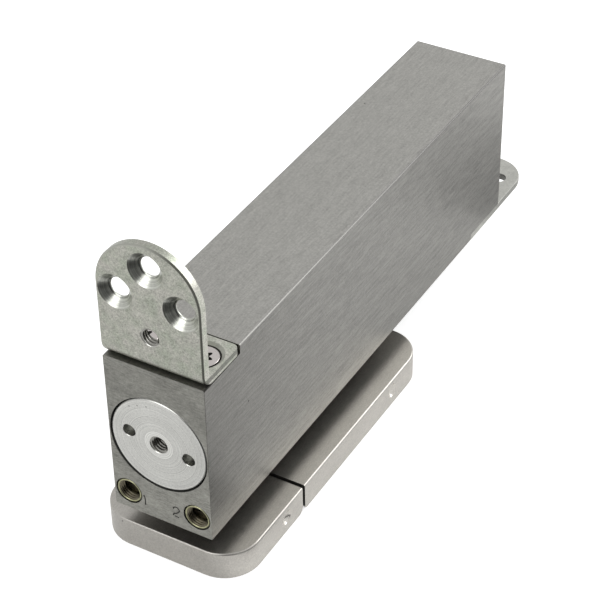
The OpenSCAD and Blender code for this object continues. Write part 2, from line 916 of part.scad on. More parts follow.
// Disc at the closed end of the bore, with a spigot inside the spring
module spring_seat() {
    color("darkgray")
        union() {
            y_rod(bore_r - slack, seat_face, bore_end, 0, bore_z);
            y_rod(spigot_r, seat_face - spigot_l, seat_face + over, 0, bore_z);
        }
}

// Closing spring: a wire swept along a helix whose end coils lie close
module closing_spring() {
    steps = ceil(turns * ring_steps);
    function centre(t) = [coil_d / 2 * cos(360 * t), coil_y(t), coil_d / 2 * sin(360 * t)];
    function outward(t) = [cos(360 * t), 0, sin(360 * t)];
    rings = [
        for (i = [0 : steps])
            let (
                t = turns * i / steps,
                out = outward(t),
                ahead = centre(min(t + 0.01, turns)) - centre(max(t - 0.01, 0)),
                along = ahead / norm(ahead),
                across = cross(along, out)
            )
            [for (j = [0 : wire_sides - 1])
                centre(t) + wire_d / 2
                    * (cos(360 * j / wire_sides) * out + sin(360 * j / wire_sides) * across)]
    ];
    points = [for (ring = rings) for (p = ring) p];
    n = wire_sides;
    sides = [
        for (i = [0 : steps - 1], j = [0 : n - 1])
            let (a = i * n + j, b = i * n + (j + 1) % n)
            each [[a, b, b + n], [a, b + n, a + n]]
    ];
    first = [for (j = [1 : n - 2]) [0, j + 1, j]];
    last = [for (j = [1 : n - 2]) [steps * n, steps * n + j, steps * n + j + 1]];
    echo(least_gap_between_coils = min(end_pitch, (spring_l - 2 * end_pitch) / (turns - 2)) - wire_d);
    color("gray")
        translate([0, spring_from, bore_z])
            polyhedron(points, concat(sides, first, last));
}

base_plate();
spindle_socket();
spindle();
heart_cam();
cam_key();
cam_circlip();
near_cover();
far_cover();
housing();
end_plug();
plug_seal();
end_bracket();
bracket_screws();
tail_plate();
tail_screws();
bearing_carrier();
carrier_seal();
bearing_shell();
bearing_needles();
spindle_seal();
upper_bush();
thrust_disc();
valve_sleeve(-valve_out);  // valve_sleeve_1
valve_sleeve(valve_out);  // valve_sleeve_2
valve_needle(-valve_out);  // valve_needle_1
valve_needle(valve_out);  // valve_needle_2
needle_seal(-valve_out);  // needle_seal_1
needle_seal(valve_out);  // needle_seal_2
carriage();
piston_ring();
check_ball();
ball_cage();
roller_pin();
cam_roller();
spring_seat();
closing_spring();
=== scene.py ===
# %% [markdown]
# # A concealed door closer, dressed for its photograph
# The object is a brushed aluminium block that hides in the foot of a door. It turns on a spindle in a floor
# plate under two pressed covers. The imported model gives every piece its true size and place. This script adds
# what such a model leaves out: finishes, broken edges, threads, stamped figures, light and a camera.

# %% The frame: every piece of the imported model, in metres
import json
import math

import bmesh
import bpy
from mathutils import Matrix, Vector


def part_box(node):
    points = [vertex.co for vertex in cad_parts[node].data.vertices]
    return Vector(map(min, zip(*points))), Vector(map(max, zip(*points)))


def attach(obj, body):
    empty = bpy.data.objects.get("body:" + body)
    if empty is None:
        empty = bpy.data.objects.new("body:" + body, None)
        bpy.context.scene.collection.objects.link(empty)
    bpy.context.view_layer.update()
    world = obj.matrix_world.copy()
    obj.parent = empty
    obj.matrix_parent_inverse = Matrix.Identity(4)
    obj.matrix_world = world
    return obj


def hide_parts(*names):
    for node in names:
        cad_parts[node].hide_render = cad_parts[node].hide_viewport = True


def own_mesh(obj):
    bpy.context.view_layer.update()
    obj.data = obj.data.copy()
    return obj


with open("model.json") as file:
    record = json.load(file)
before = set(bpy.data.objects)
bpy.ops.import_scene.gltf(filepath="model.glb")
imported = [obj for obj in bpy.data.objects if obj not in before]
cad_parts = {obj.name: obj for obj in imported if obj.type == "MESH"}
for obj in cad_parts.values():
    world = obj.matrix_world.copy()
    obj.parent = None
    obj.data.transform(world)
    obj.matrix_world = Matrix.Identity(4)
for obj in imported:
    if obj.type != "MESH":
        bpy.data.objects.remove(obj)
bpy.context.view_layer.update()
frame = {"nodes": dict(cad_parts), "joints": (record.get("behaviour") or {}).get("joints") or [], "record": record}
NODES = frame["nodes"]
MM = 0.001
print("nodes in the frame:", len(NODES))

# %% [markdown]
# ## The camera
# The photograph looks down on the block from its near right corner. The place and the angles were worked out
# from the block's corners. A camera looks along its own -Z, so it is tipped up from the floor, turned about
# the vertical, and rolled a little because the photographer held it askew.

# %% The camera
CAMERA_PLACE = Vector((253.06, -385.21, 424.34)) * MM
CAMERA_ELEVATION = 37.416
CAMERA_TURN = 30.575
CAMERA_ROLL = 1.046
CAMERA_LENS = 118.875

camera = bpy.data.objects.new("photo_camera", bpy.data.cameras.new("photo_camera"))
bpy.context.scene.collection.objects.link(camera)
camera.data.sensor_width = 36
camera.data.lens = CAMERA_LENS
camera.data.clip_start = 0.01
camera.matrix_world = (
    Matrix.Translation(CAMERA_PLACE)
    @ Matrix.Rotation(math.radians(CAMERA_TURN), 4, "Z")
    @ Matrix.Rotation(math.radians(90 - CAMERA_ELEVATION), 4, "X")
    @ Matrix.Rotation(math.radians(-CAMERA_ROLL), 4, "Z")
)
bpy.context.scene.camera = camera
print("camera stands", round(CAMERA_PLACE.length, 3), "m from the spindle's foot")

# %% [markdown]
# ## Shader maths as arithmetic
# A material is a graph of nodes. Dozens of Math nodes placed by hand would hide the idea, so a small class
# wraps one socket and gives it Python's operators. An expression such as 1 - mask * 0.3 then adds its nodes.


# %% A signal is one socket that arithmetic works on
class Signal:
    """The output socket of a node in a finish."""

    def __init__(self, finish, socket):
        self.finish = finish
        self.socket = socket

    def math(self, operation, *others):
        """A Math node on this signal and the others."""
        return self.finish.node("Math", {"operation": operation}, [self, *others])

    def limited(self):
        """The signal held between 0 and 1."""
        return self.finish.node("Clamp", {}, [self])

    def ramp(self, start, stop):
        """0 at one length and 1 at the other, both in millimetres, with an even slope between."""
        return ((self - start * MM) / ((stop - start) * MM)).limited()

    def __add__(self, other):
        return self.math("ADD", other)

    __radd__ = __add__

    def __sub__(self, other):
        return self.math("SUBTRACT", other)

    def __rsub__(self, other):
        return self.finish.node("Math", {"operation": "SUBTRACT"}, [other, self])

    def __mul__(self, other):
        return self.math("MULTIPLY", other)

    __rmul__ = __mul__

    def __truediv__(self, other):
        return self.math("DIVIDE", other)

    def __pow__(self, other):
        return self.math("POWER", other)

    def __gt__(self, other):
        return self.math("GREATER_THAN", other)

    def __lt__(self, other):
        return self.math("LESS_THAN", other)

    def __abs__(self):
        return self.math("ABSOLUTE")


# %% A finish is one material and the nodes that it is made of
class Finish:
    """A material with one Principled shader, built node by node."""

    def __init__(self, name, **constants):
        self.material = bpy.data.materials.new(name)
        self.material.use_nodes = True
        self.tree = self.material.node_tree
        self.tree.nodes.clear()
        self.shader = self.tree.nodes.new("ShaderNodeBsdfPrincipled")
        output = self.tree.nodes.new("ShaderNodeOutputMaterial")
        self.tree.links.new(self.shader.outputs[0], output.inputs[0])
        self.set(**constants)
        print("finish", name)

    def feed(self, socket, value):
        """Puts a number, a colour or a signal into a socket."""
        if isinstance(value, Signal):
            self.tree.links.new(value.socket, socket)
        elif socket.type == "RGBA":
            socket.default_value = (*value, 1)
        else:
            socket.default_value = value

    def node(self, kind, settings, values, output=0):
        """Adds a node: its settings first, then what goes into its sockets, by name or by number."""
        made = self.tree.nodes.new("ShaderNode" + kind)
        for name, setting in settings.items():
            setattr(made, name, setting)
        pairs = values.items() if isinstance(values, dict) else enumerate(values)
        for name, value in pairs:
            self.feed(made.inputs[name], value)
        return Signal(self, made.outputs[output])

    def set(self, **sockets):
        """Sets sockets of the shader, with underscores for the spaces in their names."""
        for name, value in sockets.items():
            self.feed(self.shader.inputs[name.replace("_", " ")], value)
        return self

    def place(self, stretch=(1, 1, 1)):
        """Object coordinates, multiplied by a stretch along each axis."""
        spot = self.node("TexCoord", {}, {}, "Object")
        return self.node("VectorMath", {"operation": "MULTIPLY"}, [spot, stretch])

    def along(self, axis):
        """One of the object coordinates, 0 for X, 1 for Y, 2 for Z."""
        return self.node("SeparateXYZ", {}, [self.place()], axis)

    def facing(self, axis):
        """How squarely the surface faces along an axis, from 0 to 1."""
        normal = self.node("TexCoord", {}, {}, "Normal")
        return abs(self.node("SeparateXYZ", {}, [normal], axis))

    def noise(self, stretch, detail=2.0, roughness=0.5):
        """Noise from -1 to 1. Its grains measure 1 / stretch, which is one number or one for each axis."""
        if isinstance(stretch, int):
            stretch = (stretch,) * 3
        values = {"Vector": self.place(stretch), "Scale": 1, "Detail": detail, "Roughness": roughness}
        return (self.node("TexNoise", {}, values) - 0.5) * 2

    def grain(self, axis, across, length, detail=2.0):
        """Scratches that run along an axis: a noise that is stretched in that direction."""
        stretch = [1 / (across * MM)] * 3
        stretch[axis] = 1 / (length * MM)
        return self.noise(stretch, detail)

    def rings(self, distance, width, detail=2.0):
        """Turning marks: a noise that changes only with a distance."""
        values = {"W": distance / (width * MM), "Scale": 1, "Detail": detail}
        return (self.node("TexNoise", {"noise_dimensions": "1D"}, values) - 0.5) * 2

    def spots(self, places, dark):
        """1 everywhere, and a darker value inside small round spots, each given by its place and radius."""
        level = 1
        for x, y, z, radius in places:
            centre = (x * MM, y * MM, z * MM)
            away = self.node("VectorMath", {"operation": "DISTANCE"}, [self.place(), centre], 1)
            level = (away > radius * MM) * (1 - dark) * level + dark * level
        return level

    def mix(self, share, first, second):
        """A colour between two others."""
        return self.node("Mix", {"data_type": "RGBA"}, {0: share, 6: first, 7: second}, 2)

    def shade(self, colour, factor):
        """A colour made lighter or darker by a signal."""
        return self.node("VectorMath", {"operation": "SCALE"}, {0: colour, 3: factor})

    def metal(self, colour, level, roughness, height, depth):
        """A colour times a level, a roughness, and a relief from a height, so many millimetres deep."""
        bump = self.node("Bump", {}, {"Height": height, "Strength": 1, "Distance": depth * MM})
        return self.set(Base_Color=self.shade(colour, level), Roughness=roughness, Normal=bump)


# %% [markdown]
# ## Brushed aluminium
# Almost every piece is bare metal, and what tells the metals apart is their grain. The block is brushed along
# its length, its end face across. A noise stretched far along one axis looks like such scratches. Each face
# has its own painted brightness, chosen by the way that it faces, as painted light and shade. Painted shade
# darkens the side towards its upper near part, a painted reflection lightens the end face low down, and a
# painted shadow of the bracket darkens its seat.

# %% The finish of the block
# Painted light and shade: the top is painted lighter and the end face darker than the side.
BLOCK_SIDE = (0.308, 0.303, 0.285)
BLOCK_TOP = (0.428, 0.422, 0.398)
BLOCK_END = (0.262, 0.26, 0.236)
BLOCK_SPOTS = ((17, -16.0, 52.9, 0.35), (-13.4, 110.3, 76, 0.3))
SQUARELY = 0.7
seat_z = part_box("end_bracket")[0].z


def make_block_finish():
    finish = Finish("brushed_aluminium", Metallic=1.0)
    at_end = finish.facing(1) > SQUARELY
    on_top = finish.facing(2) > SQUARELY
    on_side = (1 - at_end) * (1 - on_top)
    fine_side = finish.grain(1, across=0.38, length=6, detail=3)
    fine_end = finish.grain(0, across=0.5, length=2.4, detail=3)
    fine = fine_side + at_end * (fine_end - fine_side)
    streaks = fine * 0.42 + finish.grain(1, across=1.3, length=28) * 0.14
    speck = finish.noise(1900)
    smudge = finish.noise((110, 110, 170), detail=4, roughness=0.6)
    level = 1 + streaks * (1.3 - 0.6 * on_top) + speck * 0.3 + smudge * (0.05 + 0.3 * at_end)
    # Painted shadow: the bracket's seat is painted darker where the bracket shades it.
    seat_shadow = on_top * (finish.along(2) < seat_z + 0.5 * MM)
    # Painted reflection: the end face is painted lighter towards its bottom.
    end_reflection = at_end * finish.along(2).ramp(60, 0)
    # Painted shade: the side is painted darker towards its upper near part.
    side_shade = on_side * finish.along(1).ramp(22, -38) * finish.along(2).ramp(24, 48)
    level = level * finish.spots(BLOCK_SPOTS, 0.3) * (1 - seat_shadow * 0.4)
    level = level * (1 + end_reflection * 0.38) * (1 - side_shade * 0.2)
    colour = finish.mix(at_end, finish.mix(on_top, BLOCK_SIDE, BLOCK_TOP), BLOCK_END)
    return finish.metal(colour, level, 0.4 + fine * 0.14, fine, 0.012)


block_finish = make_block_finish()

# %% [markdown]
# ## Turned aluminium
# The plug was faced on a lathe, which leaves rings, so this noise changes only with the distance from the
# plug's centre. The land round the thread was cut with another tool and is a little brighter.

# %% The finish of the plug
PLUG_COLOUR = (0.65, 0.65, 0.62)
POLISHED_RING = 4.9
plug_centre = sum(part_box("end_plug"), Vector()) / 2


def make_plug_finish():
    finish = Finish("turned_aluminium", Metallic=1.0)
    out_x = finish.along(0) - plug_centre.x
    out_z = finish.along(2) - plug_centre.z
    reach = (out_x * out_x + out_z * out_z) ** 0.5
    fine = finish.rings(reach, 0.3, detail=3)
    broad = finish.rings(reach, 1.6)
    speck = finish.noise(1700, detail=3, roughness=0.6)
    smear = finish.noise(140)
    polished = reach < POLISHED_RING * MM
    level = 1 + fine * 0.4 + broad * 0.12 + speck * (0.3 - 0.2 * polished) + smear * 0.1 + polished * 0.16
    # Painted shade: the plug is painted darker towards its right side.
    level = level * (1 - out_x.ramp(0, 16) * 0.12)
    return finish.metal(PLUG_COLOUR, level, 0.36 + fine * 0.08, fine, 0.008)


plug_finish = make_plug_finish()

# %% [markdown]
# ## Zinc plate
# Zinc plate has no grain but a fine mottle with broader clouds in it. Two noises of different size give both.
# One function makes all the plain zinc finishes, since they differ only in a few numbers.

# %% Zinc for the tail plate, the screws, the foot's sinks and the floor plate
def make_zinc_finish(name, colour, roughness, mottle_share=0.3, cloud_share=0.18):
    finish = Finish(name, Metallic=1.0)
    mottle = finish.noise(1300, detail=4, roughness=0.65)
    cloud = finish.noise(330, detail=3)
    level = 1 + mottle * mottle_share + cloud * cloud_share
    return finish.metal(colour, level, roughness + mottle * 0.12, mottle, 0.01)


zinc_finish = make_zinc_finish("zinc_plate", (0.546, 0.546, 0.509), 0.42)
screw_finish = make_zinc_finish("screw_zinc", (0.64, 0.6, 0.58), 0.3, mottle_share=0.08, cloud_share=0.05)
sink_finish = make_zinc_finish("foot_sink_zinc", (0.5, 0.505, 0.455), 0.5)
floor_zinc_and_hole_shade = make_zinc_finish("floor_plate_zinc", (0.26, 0.258, 0.245), 0.45)

# %% [markdown]
# ## Passivated zinc
# The bracket's zinc was passivated, which leaves it greenish in places and warmer in others. A slow noise
# chooses between the two. The foot's sides are darker, but for a painted highlight along their lower edge,
# and the rim of the arch has a painted highlight on the right.

# %% The finish of the bracket
ZINC_GREEN = (0.4, 0.42, 0.356)
ZINC_WARM = (0.48, 0.473, 0.428)
HIGHLIGHT_BAND = 1.25
RIM_HIGHLIGHT = 0.25
BRACKET_SHEET = 3.0
foot_level = seat_z + BRACKET_SHEET * MM


def make_bracket_finish():
    finish = Finish("bracket_zinc", Metallic=1.0)
    mottle = finish.noise(2300, detail=3, roughness=0.65)
    cloud = finish.noise(500, detail=4, roughness=0.6)
    tint = finish.noise(240, detail=3)
    on_face = finish.facing(1) > SQUARELY
    # The foot's sides are darker below the foot's top.
    foot_side = (finish.facing(0) > 0.98) * (finish.along(2) < foot_level)
    # Painted highlight: a band along the lower edge of the foot's sides is painted lighter.
    highlight_band = finish.along(2) < seat_z + HIGHLIGHT_BAND * MM
    on_rim = (1 - on_face) * (finish.along(2) > foot_level)
    level = (1 + mottle * 0.85 + cloud * 0.22 * on_face) * (1 - foot_side * (0.48 - 0.72 * highlight_band))
    # Painted highlight: the rim of the arch is painted brighter towards its right.
    level = level * (1 + on_rim * finish.along(0).ramp(0, 12) * RIM_HIGHLIGHT)
    colour = finish.mix((tint * 1.6 + 0.5).limited(), ZINC_GREEN, ZINC_WARM)
    return finish.metal(colour, level, 0.33 + on_face * 0.07 + mottle * 0.12, mottle, 0.01)


bracket_finish = make_bracket_finish()

# %% [markdown]
# ## Countersinks and edges
# A countersink shows rings like the plug's, but they lie at different depths, so this noise follows the
# depth. Two edges are painted darker along their length, as painted shade: the arch's front edge goes from
# light zinc to dark towards its right, and the block's filed edges darken towards the far end, which dims
# their highlight.

# %% The finishes of the countersinks and the two edges
SINK_COLOUR = (0.56, 0.57, 0.52)
LIGHT_ZINC = (0.42, 0.425, 0.38)
SHADED_ZINC = (0.12, 0.122, 0.105)
NEAR_EDGE = (0.4, 0.395, 0.376)
SHADED_EDGE = (0.185, 0.18, 0.176)


def make_countersink_finish():
    finish = Finish("turned_countersink", Metallic=1.0)
    fine = finish.rings(finish.along(1), 0.4)
    mottle = finish.noise(1250, detail=3)
    level = 1 + fine * 0.8 + mottle * 0.2
    return finish.metal(SINK_COLOUR, level, 0.3 + fine * 0.08, fine, 0.03)


def make_edge_finish(name, axis, start, stop, first, second, roughness):
    """A metal whose colour goes over into another one along an axis."""
    finish = Finish(name, Metallic=1.0)
    share = finish.along(axis).ramp(start, stop)
    return finish.set(Base_Color=finish.mix(share, first, second), Roughness=roughness)


countersink_finish = make_countersink_finish()
# Painted shade: the arch's front edge goes dark towards its right.
arch_edge_shade_finish = make_edge_finish("worn_edge", 0, 0, 9, LIGHT_ZINC, SHADED_ZINC, 0.3)
# Painted shade: the block's upper edges are painted darker towards the far end, which dims their highlight.
far_edge_shade_finish = make_edge_finish("filed_edge", 1, -20, 110, NEAR_EDGE, SHADED_EDGE, 0.5)

# %% [markdown]
# ## Satin stainless steel
# The covers have a short, soft grain. Inside each dimple the punch has pressed the grain flat, so there the
# steel is smoother, and a painted highlight makes it a little brighter. The distance from the dimple's centre
# tells where that is. The side walls below the rim are painted lighter, as painted light.

# %% The finish of the covers
COVER_COLOUR = (0.5, 0.482, 0.448)
COVER_SPOTS = ((-15.6, -38.5, 8.6, 0.35),)
DIMPLE_Z = 5.9
DIMPLE_YS = (-10.5, 58.0)
DIMPLE_SPOT = 2.5
dimple_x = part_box("near_cover")[1].x


def make_cover_finish():
    finish = Finish("satin_stainless", Metallic=1.0)
    fine = finish.grain(1, across=0.5, length=2.2)
    cloud = finish.noise((110, 80, 220), detail=3)
    speck = finish.noise(2300, detail=3)
    sideways = abs(finish.along(0)) - dimple_x
    upwards = finish.along(2) - DIMPLE_Z * MM
    outside_dimples = 1
    for dimple_y in DIMPLE_YS:
        lengthways = finish.along(1) - dimple_y * MM
        reach = (sideways * sideways + lengthways * lengthways + upwards * upwards) ** 0.5
        outside_dimples = (reach > DIMPLE_SPOT * MM) * outside_dimples
    # Painted light: the side walls below the rim are painted lighter.
    wall_painted_light = finish.along(2).ramp(10, 9) * abs(finish.along(0)).ramp(19, 25)
    level = (1 + fine * 0.16 + cloud * 0.1 + speck * 0.25) * finish.spots(COVER_SPOTS, 0.35)
    # Painted highlight: inside the dimples the steel is painted a little brighter; its lower roughness is the
    # pressing.
    level = level * (1 + wall_painted_light * 0.28) * (1.1 - outside_dimples * 0.1)
    return finish.metal(COVER_COLOUR, level, 0.26 + outside_dimples * (0.08 + fine * 0.05), fine, 0.005)


cover_finish = make_cover_finish()

# %% [markdown]
# ## Plain metals, grime and rubber
# Small and hidden pieces need less: a colour with a fine and a broad mottle, a roughness that follows the
# fine one, and a trace of relief. The same function makes the painted shade in the gaps and recesses and the
# rubber of the seals, with little or no metal in them.

# %% The plain finishes
def make_metal_finish(name, colour, roughness, mottle=0.08, metallic=1.0):
    finish = Finish(name, Metallic=metallic)
    grains = finish.noise(1500, detail=3)
    cloud = finish.noise(200)
    level = 1 + grains * mottle + cloud * mottle
    return finish.metal(colour, level, roughness + grains * 0.08, grains, 0.006)


spring_finish = make_metal_finish("spring_wire", (0.3, 0.3, 0.31), 0.4)
sleeve_finish = make_metal_finish("yellow_passivation", (0.45, 0.445, 0.275), 0.33, mottle=0.3)
needle_and_bore_shade_finish = make_metal_finish("dark_oiled_steel", (0.17, 0.152, 0.11), 0.3)
# Painted shade: near black paint for the gaps between parts and beside the screw heads.
gap_shade_finish = make_metal_finish("dark_gap", (0.03, 0.028, 0.024), 0.6, metallic=0.3)
# Painted shade: the screw sockets, the punch marks and the stamped figures are painted near black inside.
recess_shade_finish = make_metal_finish("stamped_groove", (0.045, 0.045, 0.04), 0.6, metallic=0.2)
drilled_finish = make_metal_finish("drilled_wall", (0.62, 0.62, 0.59), 0.3)
# Painted shade: the thread ridges in the tapped holes are painted darker than the drilled walls.
thread_shade_finish = make_metal_finish("cut_thread", (0.33, 0.325, 0.3), 0.22)

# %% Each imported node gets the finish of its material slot
SLOT_FINISHES = {
    "block_aluminium": block_finish,
    "plug_aluminium": plug_finish,
    "plated_sheet": zinc_finish,
    "screw_steel": screw_finish,
    "cover_stainless": cover_finish,
    "floor_steel": floor_zinc_and_hole_shade,
    "hardened_steel": make_metal_finish("ground_steel", (0.42, 0.418, 0.41), 0.3),
    "sleeve_yellow": sleeve_finish,
    "needle_steel": needle_and_bore_shade_finish,
    "bronze": make_metal_finish("sintered_bronze", (0.5, 0.36, 0.2), 0.45),
    "seal_rubber": make_metal_finish("oiled_rubber", (0.02, 0.02, 0.02), 0.55, metallic=0.0),
    "spring_steel": spring_finish,
}
node_slots = {part["node"]: part["material_slot"] for part in frame["record"]["subparts"]}
for name, node in NODES.items():
    node.data.materials.clear()
    node.data.materials.append(SLOT_FINISHES[node_slots[name]].material)
print("finishes given to", len(NODES), "nodes")

# %% [markdown]
# ## The bench
# Blender's tools have tolerances of about a ten-thousandth of a unit, which is coarse for a part in metres.
# So every new piece is modelled with one unit for a millimetre and shrunk to metres when it is done. To shape
# it, edges or faces are picked by their place, as the eye would, and a tool is called on what is picked.

# %% Selecting: one piece, then its edges or faces by their place
HAIR = 0.01


def only(piece):
    """Leaves one piece selected and active."""
    bpy.ops.object.select_all(action="DESELECT")
    piece.select_set(True)
    bpy.context.view_layer.objects.active = piece


def pick(piece, kind, test):
    """Opens a piece for editing and selects the edges or faces that pass a test."""
    only(piece)
    bpy.ops.object.mode_set(mode="EDIT")
    bpy.ops.mesh.select_mode(type=kind)
    bpy.ops.mesh.select_all(action="DESELECT")
    mesh = bmesh.from_edit_mesh(piece.data)
    parts = mesh.edges if kind == "EDGE" else mesh.faces
    chosen = [part for part in parts if test(part)]
    for part in chosen:
        part.select_set(True)
    bmesh.update_edit_mesh(piece.data)
    return len(chosen)


def put_down():
    """Leaves edit mode."""
    bpy.ops.object.mode_set(mode="OBJECT")


def middle(part):
    """The mean of the corners of an edge or a face."""
    return sum((corner.co for corner in part.verts), Vector()) / len(part.verts)


def same(one, other):
    """True for two lengths that differ by less than a hair."""
    return abs(one - other) < HAIR


def runs_along(edge, axis):
    """True for an edge that is parallel to an axis."""
    across = edge.verts[1].co - edge.verts[0].co
    return abs(across[axis]) > 0.999 * across.length


def upright_at(y):
    """A test for the upright edges at one place along Y."""
    return lambda edge: runs_along(edge, 2) and same(middle(edge).y, y)


# %% Shaping: a rounding, a modifier, and the seam of a swept shape
def round_edges(piece, width, segments, test, **settings):
    """Rounds the edges that pass a test."""
    pick(piece, "EDGE", test)
    bpy.ops.mesh.bevel(offset=width, segments=segments, profile=0.5, **settings)
    put_down()


def modify(piece, kind, **settings):
    """Adds a modifier, sets it and applies it."""
    only(piece)
    bpy.ops.object.modifier_add(type=kind)
    modifier = piece.modifiers[-1]
    for name, value in settings.items():
        setattr(modifier, name, value)
    bpy.ops.object.modifier_apply(modifier=modifier.name)


def close_up(piece):
    """Merges the corners that a sweep has doubled, turns all faces outwards and leaves edit mode."""
    bpy.ops.mesh.select_all(action="SELECT")
    bpy.ops.mesh.remove_doubles(threshold=0.0001)
    bpy.ops.mesh.normals_make_consistent(inside=False)
    put_down()
    return piece


# %% Making: a block, a turned shape, a thread, a copy of a node
def named(name):
    """Names the newest object and its mesh."""
    piece = bpy.context.object
    piece.name = name
    piece.data.name = name
    return piece


def block(name, low, high):
    """A box between two corners."""
    bpy.ops.mesh.primitive_cube_add(size=1, location=(low + high) / 2, scale=high - low)
    piece = named(name)
    bpy.ops.object.transform_apply()
    return piece


def turned(name, profile, steps=96):
    """A shape turned about Z. The profile holds pairs of radius and height."""
    bpy.ops.mesh.primitive_plane_add(size=1)
    piece = named(name)
    bpy.ops.object.mode_set(mode="EDIT")
    bpy.ops.mesh.select_mode(type="VERT")
    bpy.ops.mesh.merge(type="CENTER")
    bpy.ops.transform.translate(value=(profile[0][0], 0, profile[0][1]))
    for before, after in zip(profile, profile[1:]):
        step = (after[0] - before[0], 0, after[1] - before[1])
        bpy.ops.mesh.extrude_region_move(TRANSFORM_OT_translate={"value": step})
    bpy.ops.mesh.select_all(action="SELECT")
    bpy.ops.mesh.spin(steps=steps, angle=math.tau, center=(0, 0, 0), axis=(0, 0, 1))
    return close_up(piece)


def thread(name, outer, inner, pitch, length):
    """A helical ridge that stands on the wall of a hole, from 0 to its length along Z."""
    bpy.ops.mesh.primitive_plane_add(size=1)
    piece = named(name)
    section = [(outer, 0.02), (outer, 0.98), (inner, 0.44), (inner, 0.56)]
    for corner, (radius, share) in zip(piece.data.vertices, section):
        corner.co = (radius, 0, (share - 1) * pitch)
    bpy.ops.object.mode_set(mode="EDIT")
    bpy.ops.mesh.select_mode(type="VERT")
    bpy.ops.mesh.select_all(action="SELECT")
    bpy.ops.mesh.delete(type="ONLY_FACE")
    put_down()
    turns = math.ceil(length / pitch) + 2
    modify(piece, "SCREW", screw_offset=pitch, iterations=turns, steps=40, render_steps=40)
    bpy.ops.object.mode_set(mode="EDIT")
    for height, side in ((0, {"clear_inner": True}), (length, {"clear_outer": True})):
        bpy.ops.mesh.select_all(action="SELECT")
        bpy.ops.mesh.bisect(plane_co=(0, 0, height), plane_no=(0, 0, 1), use_fill=True, **side)
    return close_up(piece)


def copy_of(node, name):
    """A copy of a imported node, in millimetres, with its loose triangles merged into whole faces."""
    piece = bpy.data.objects.new(name, NODES[node].data.copy())
    bpy.context.scene.collection.objects.link(piece)
    piece.data.name = name
    piece.data.transform(Matrix.Scale(1 / MM, 4))
    only(piece)
    bpy.ops.mesh.customdata_custom_splitnormals_clear()
    bpy.ops.object.mode_set(mode="EDIT")
    bpy.ops.mesh.select_all(action="SELECT")
    bpy.ops.mesh.remove_doubles(threshold=0.001)
    bpy.ops.mesh.dissolve_limited(angle_limit=math.radians(0.2))
    put_down()
    return piece


def low_high(node):
    """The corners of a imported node's box, in millimetres."""
    low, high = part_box(node)
    return low / MM, high / MM


# %% Fitting: place, join, cut, paint, break edges, hand over
def stand(piece, x, y, z, turn=0):
    """Puts a piece upright at a point, or tipped about X."""
    piece.rotation_euler = (turn, 0, 0)
    piece.location = (x, y, z)
    only(piece)
    bpy.ops.object.transform_apply()
    return piece


def lay(piece, x, y, z):
    """Turns a piece that stands on Z so that it runs along Y from a point."""
    return stand(piece, x, y, z, -math.pi / 2)


def joined(name, pieces):
    """Joins pieces into the first one."""
    bpy.ops.object.select_all(action="DESELECT")
    for piece in pieces:
        piece.select_set(True)
    bpy.context.view_layer.objects.active = pieces[0]
    bpy.ops.object.join()
    return named(name)


def cut(piece, *cutters):
    """Cuts shapes out of a piece. The new faces keep the finish of the shape that cut them."""
    for cutter in cutters:
        modify(piece, "BOOLEAN", object=cutter, solver="EXACT", material_mode="TRANSFER")
        bpy.data.objects.remove(cutter)


def painted(piece, finish):
    """Gives a piece one finish."""
    piece.data.materials.clear()
    piece.data.materials.append(finish.material)
    return piece


def paint_faces(piece, finish, test):
    """Gives the faces that pass a test another finish."""
    piece.data.materials.append(finish.material)
    found = pick(piece, "FACE", test)
    piece.active_material_index = len(piece.data.materials) - 1
    bpy.ops.object.material_slot_assign()
    put_down()
    return found


def break_edges(piece, width, segments, test=None, sharp=35, finish=None):
    """Rounds the sharp edges of a piece that pass a test, and may give the rounding its own finish."""
    slot = -1
    if finish:
        piece.data.materials.append(finish.material)
        slot = len(piece.data.materials) - 1

    def chosen(edge):
        turns = edge.is_manifold and edge.calc_face_angle(0) > math.radians(sharp)
        return turns and (test is None or test(edge))

    round_edges(piece, width, segments, chosen, clamp_overlap=True, loop_slide=False, material=slot)


def hand_over(piece, body, slot, *stands_for, smooth=40):
    """Shades a finished piece, shrinks it to metres, sets it on its body and lets it stand for a node."""
    only(piece)
    bpy.ops.object.shade_smooth_by_angle(angle=math.radians(smooth))
    modify(piece, "WEIGHTED_NORMAL", keep_sharp=True, weight=100)
    piece.scale = (MM, MM, MM)
    bpy.ops.object.transform_apply()
    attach(piece, body)
    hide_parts(*stands_for)
    print(piece.name, len(piece.data.polygons), "faces")


# %% [markdown]
# ## The pressed covers
# Each cover is a shallow pan of sheet steel. A pan is easiest from a box: round its four upright corners and
# take away its floor. Both halves start as the same long pan, so that their edges meet in line.

# %% One pan for both covers
near_low, near_high = low_high("near_cover")
far_low, far_high = low_high("far_cover")
SHEET = 1.2
COVER_CORNER = 12


def make_pan():
    pan = block("cover_pan", near_low, far_high)
    round_edges(pan, COVER_CORNER, 14, lambda edge: runs_along(edge, 2))
    pick(pan, "FACE", lambda face: face.normal.z < -0.9)
    bpy.ops.mesh.delete(type="FACE")
    put_down()
    return pan


def slice_pan(cover, place, facing, **parts):
    """Cuts the pan along a plane, and may clear the part on one side of it."""
    only(cover)
    bpy.ops.object.mode_set(mode="EDIT")
    bpy.ops.mesh.select_all(action="SELECT")
    bpy.ops.mesh.bisect(plane_co=place, plane_no=facing, threshold=0.0001, **parts)
    put_down()


print("pan of", [round(size, 1) for size in far_high - near_low], "mm")

# %% [markdown]
# ## The dimples
# A dimple in each side wall snaps into the floor plate. It is part of a ball, pressed in while the pan is
# still a bare skin: four cuts bound a patch of the wall, the patch is divided finely, and each corner in it
# moves inwards by as much as the ball reaches there.

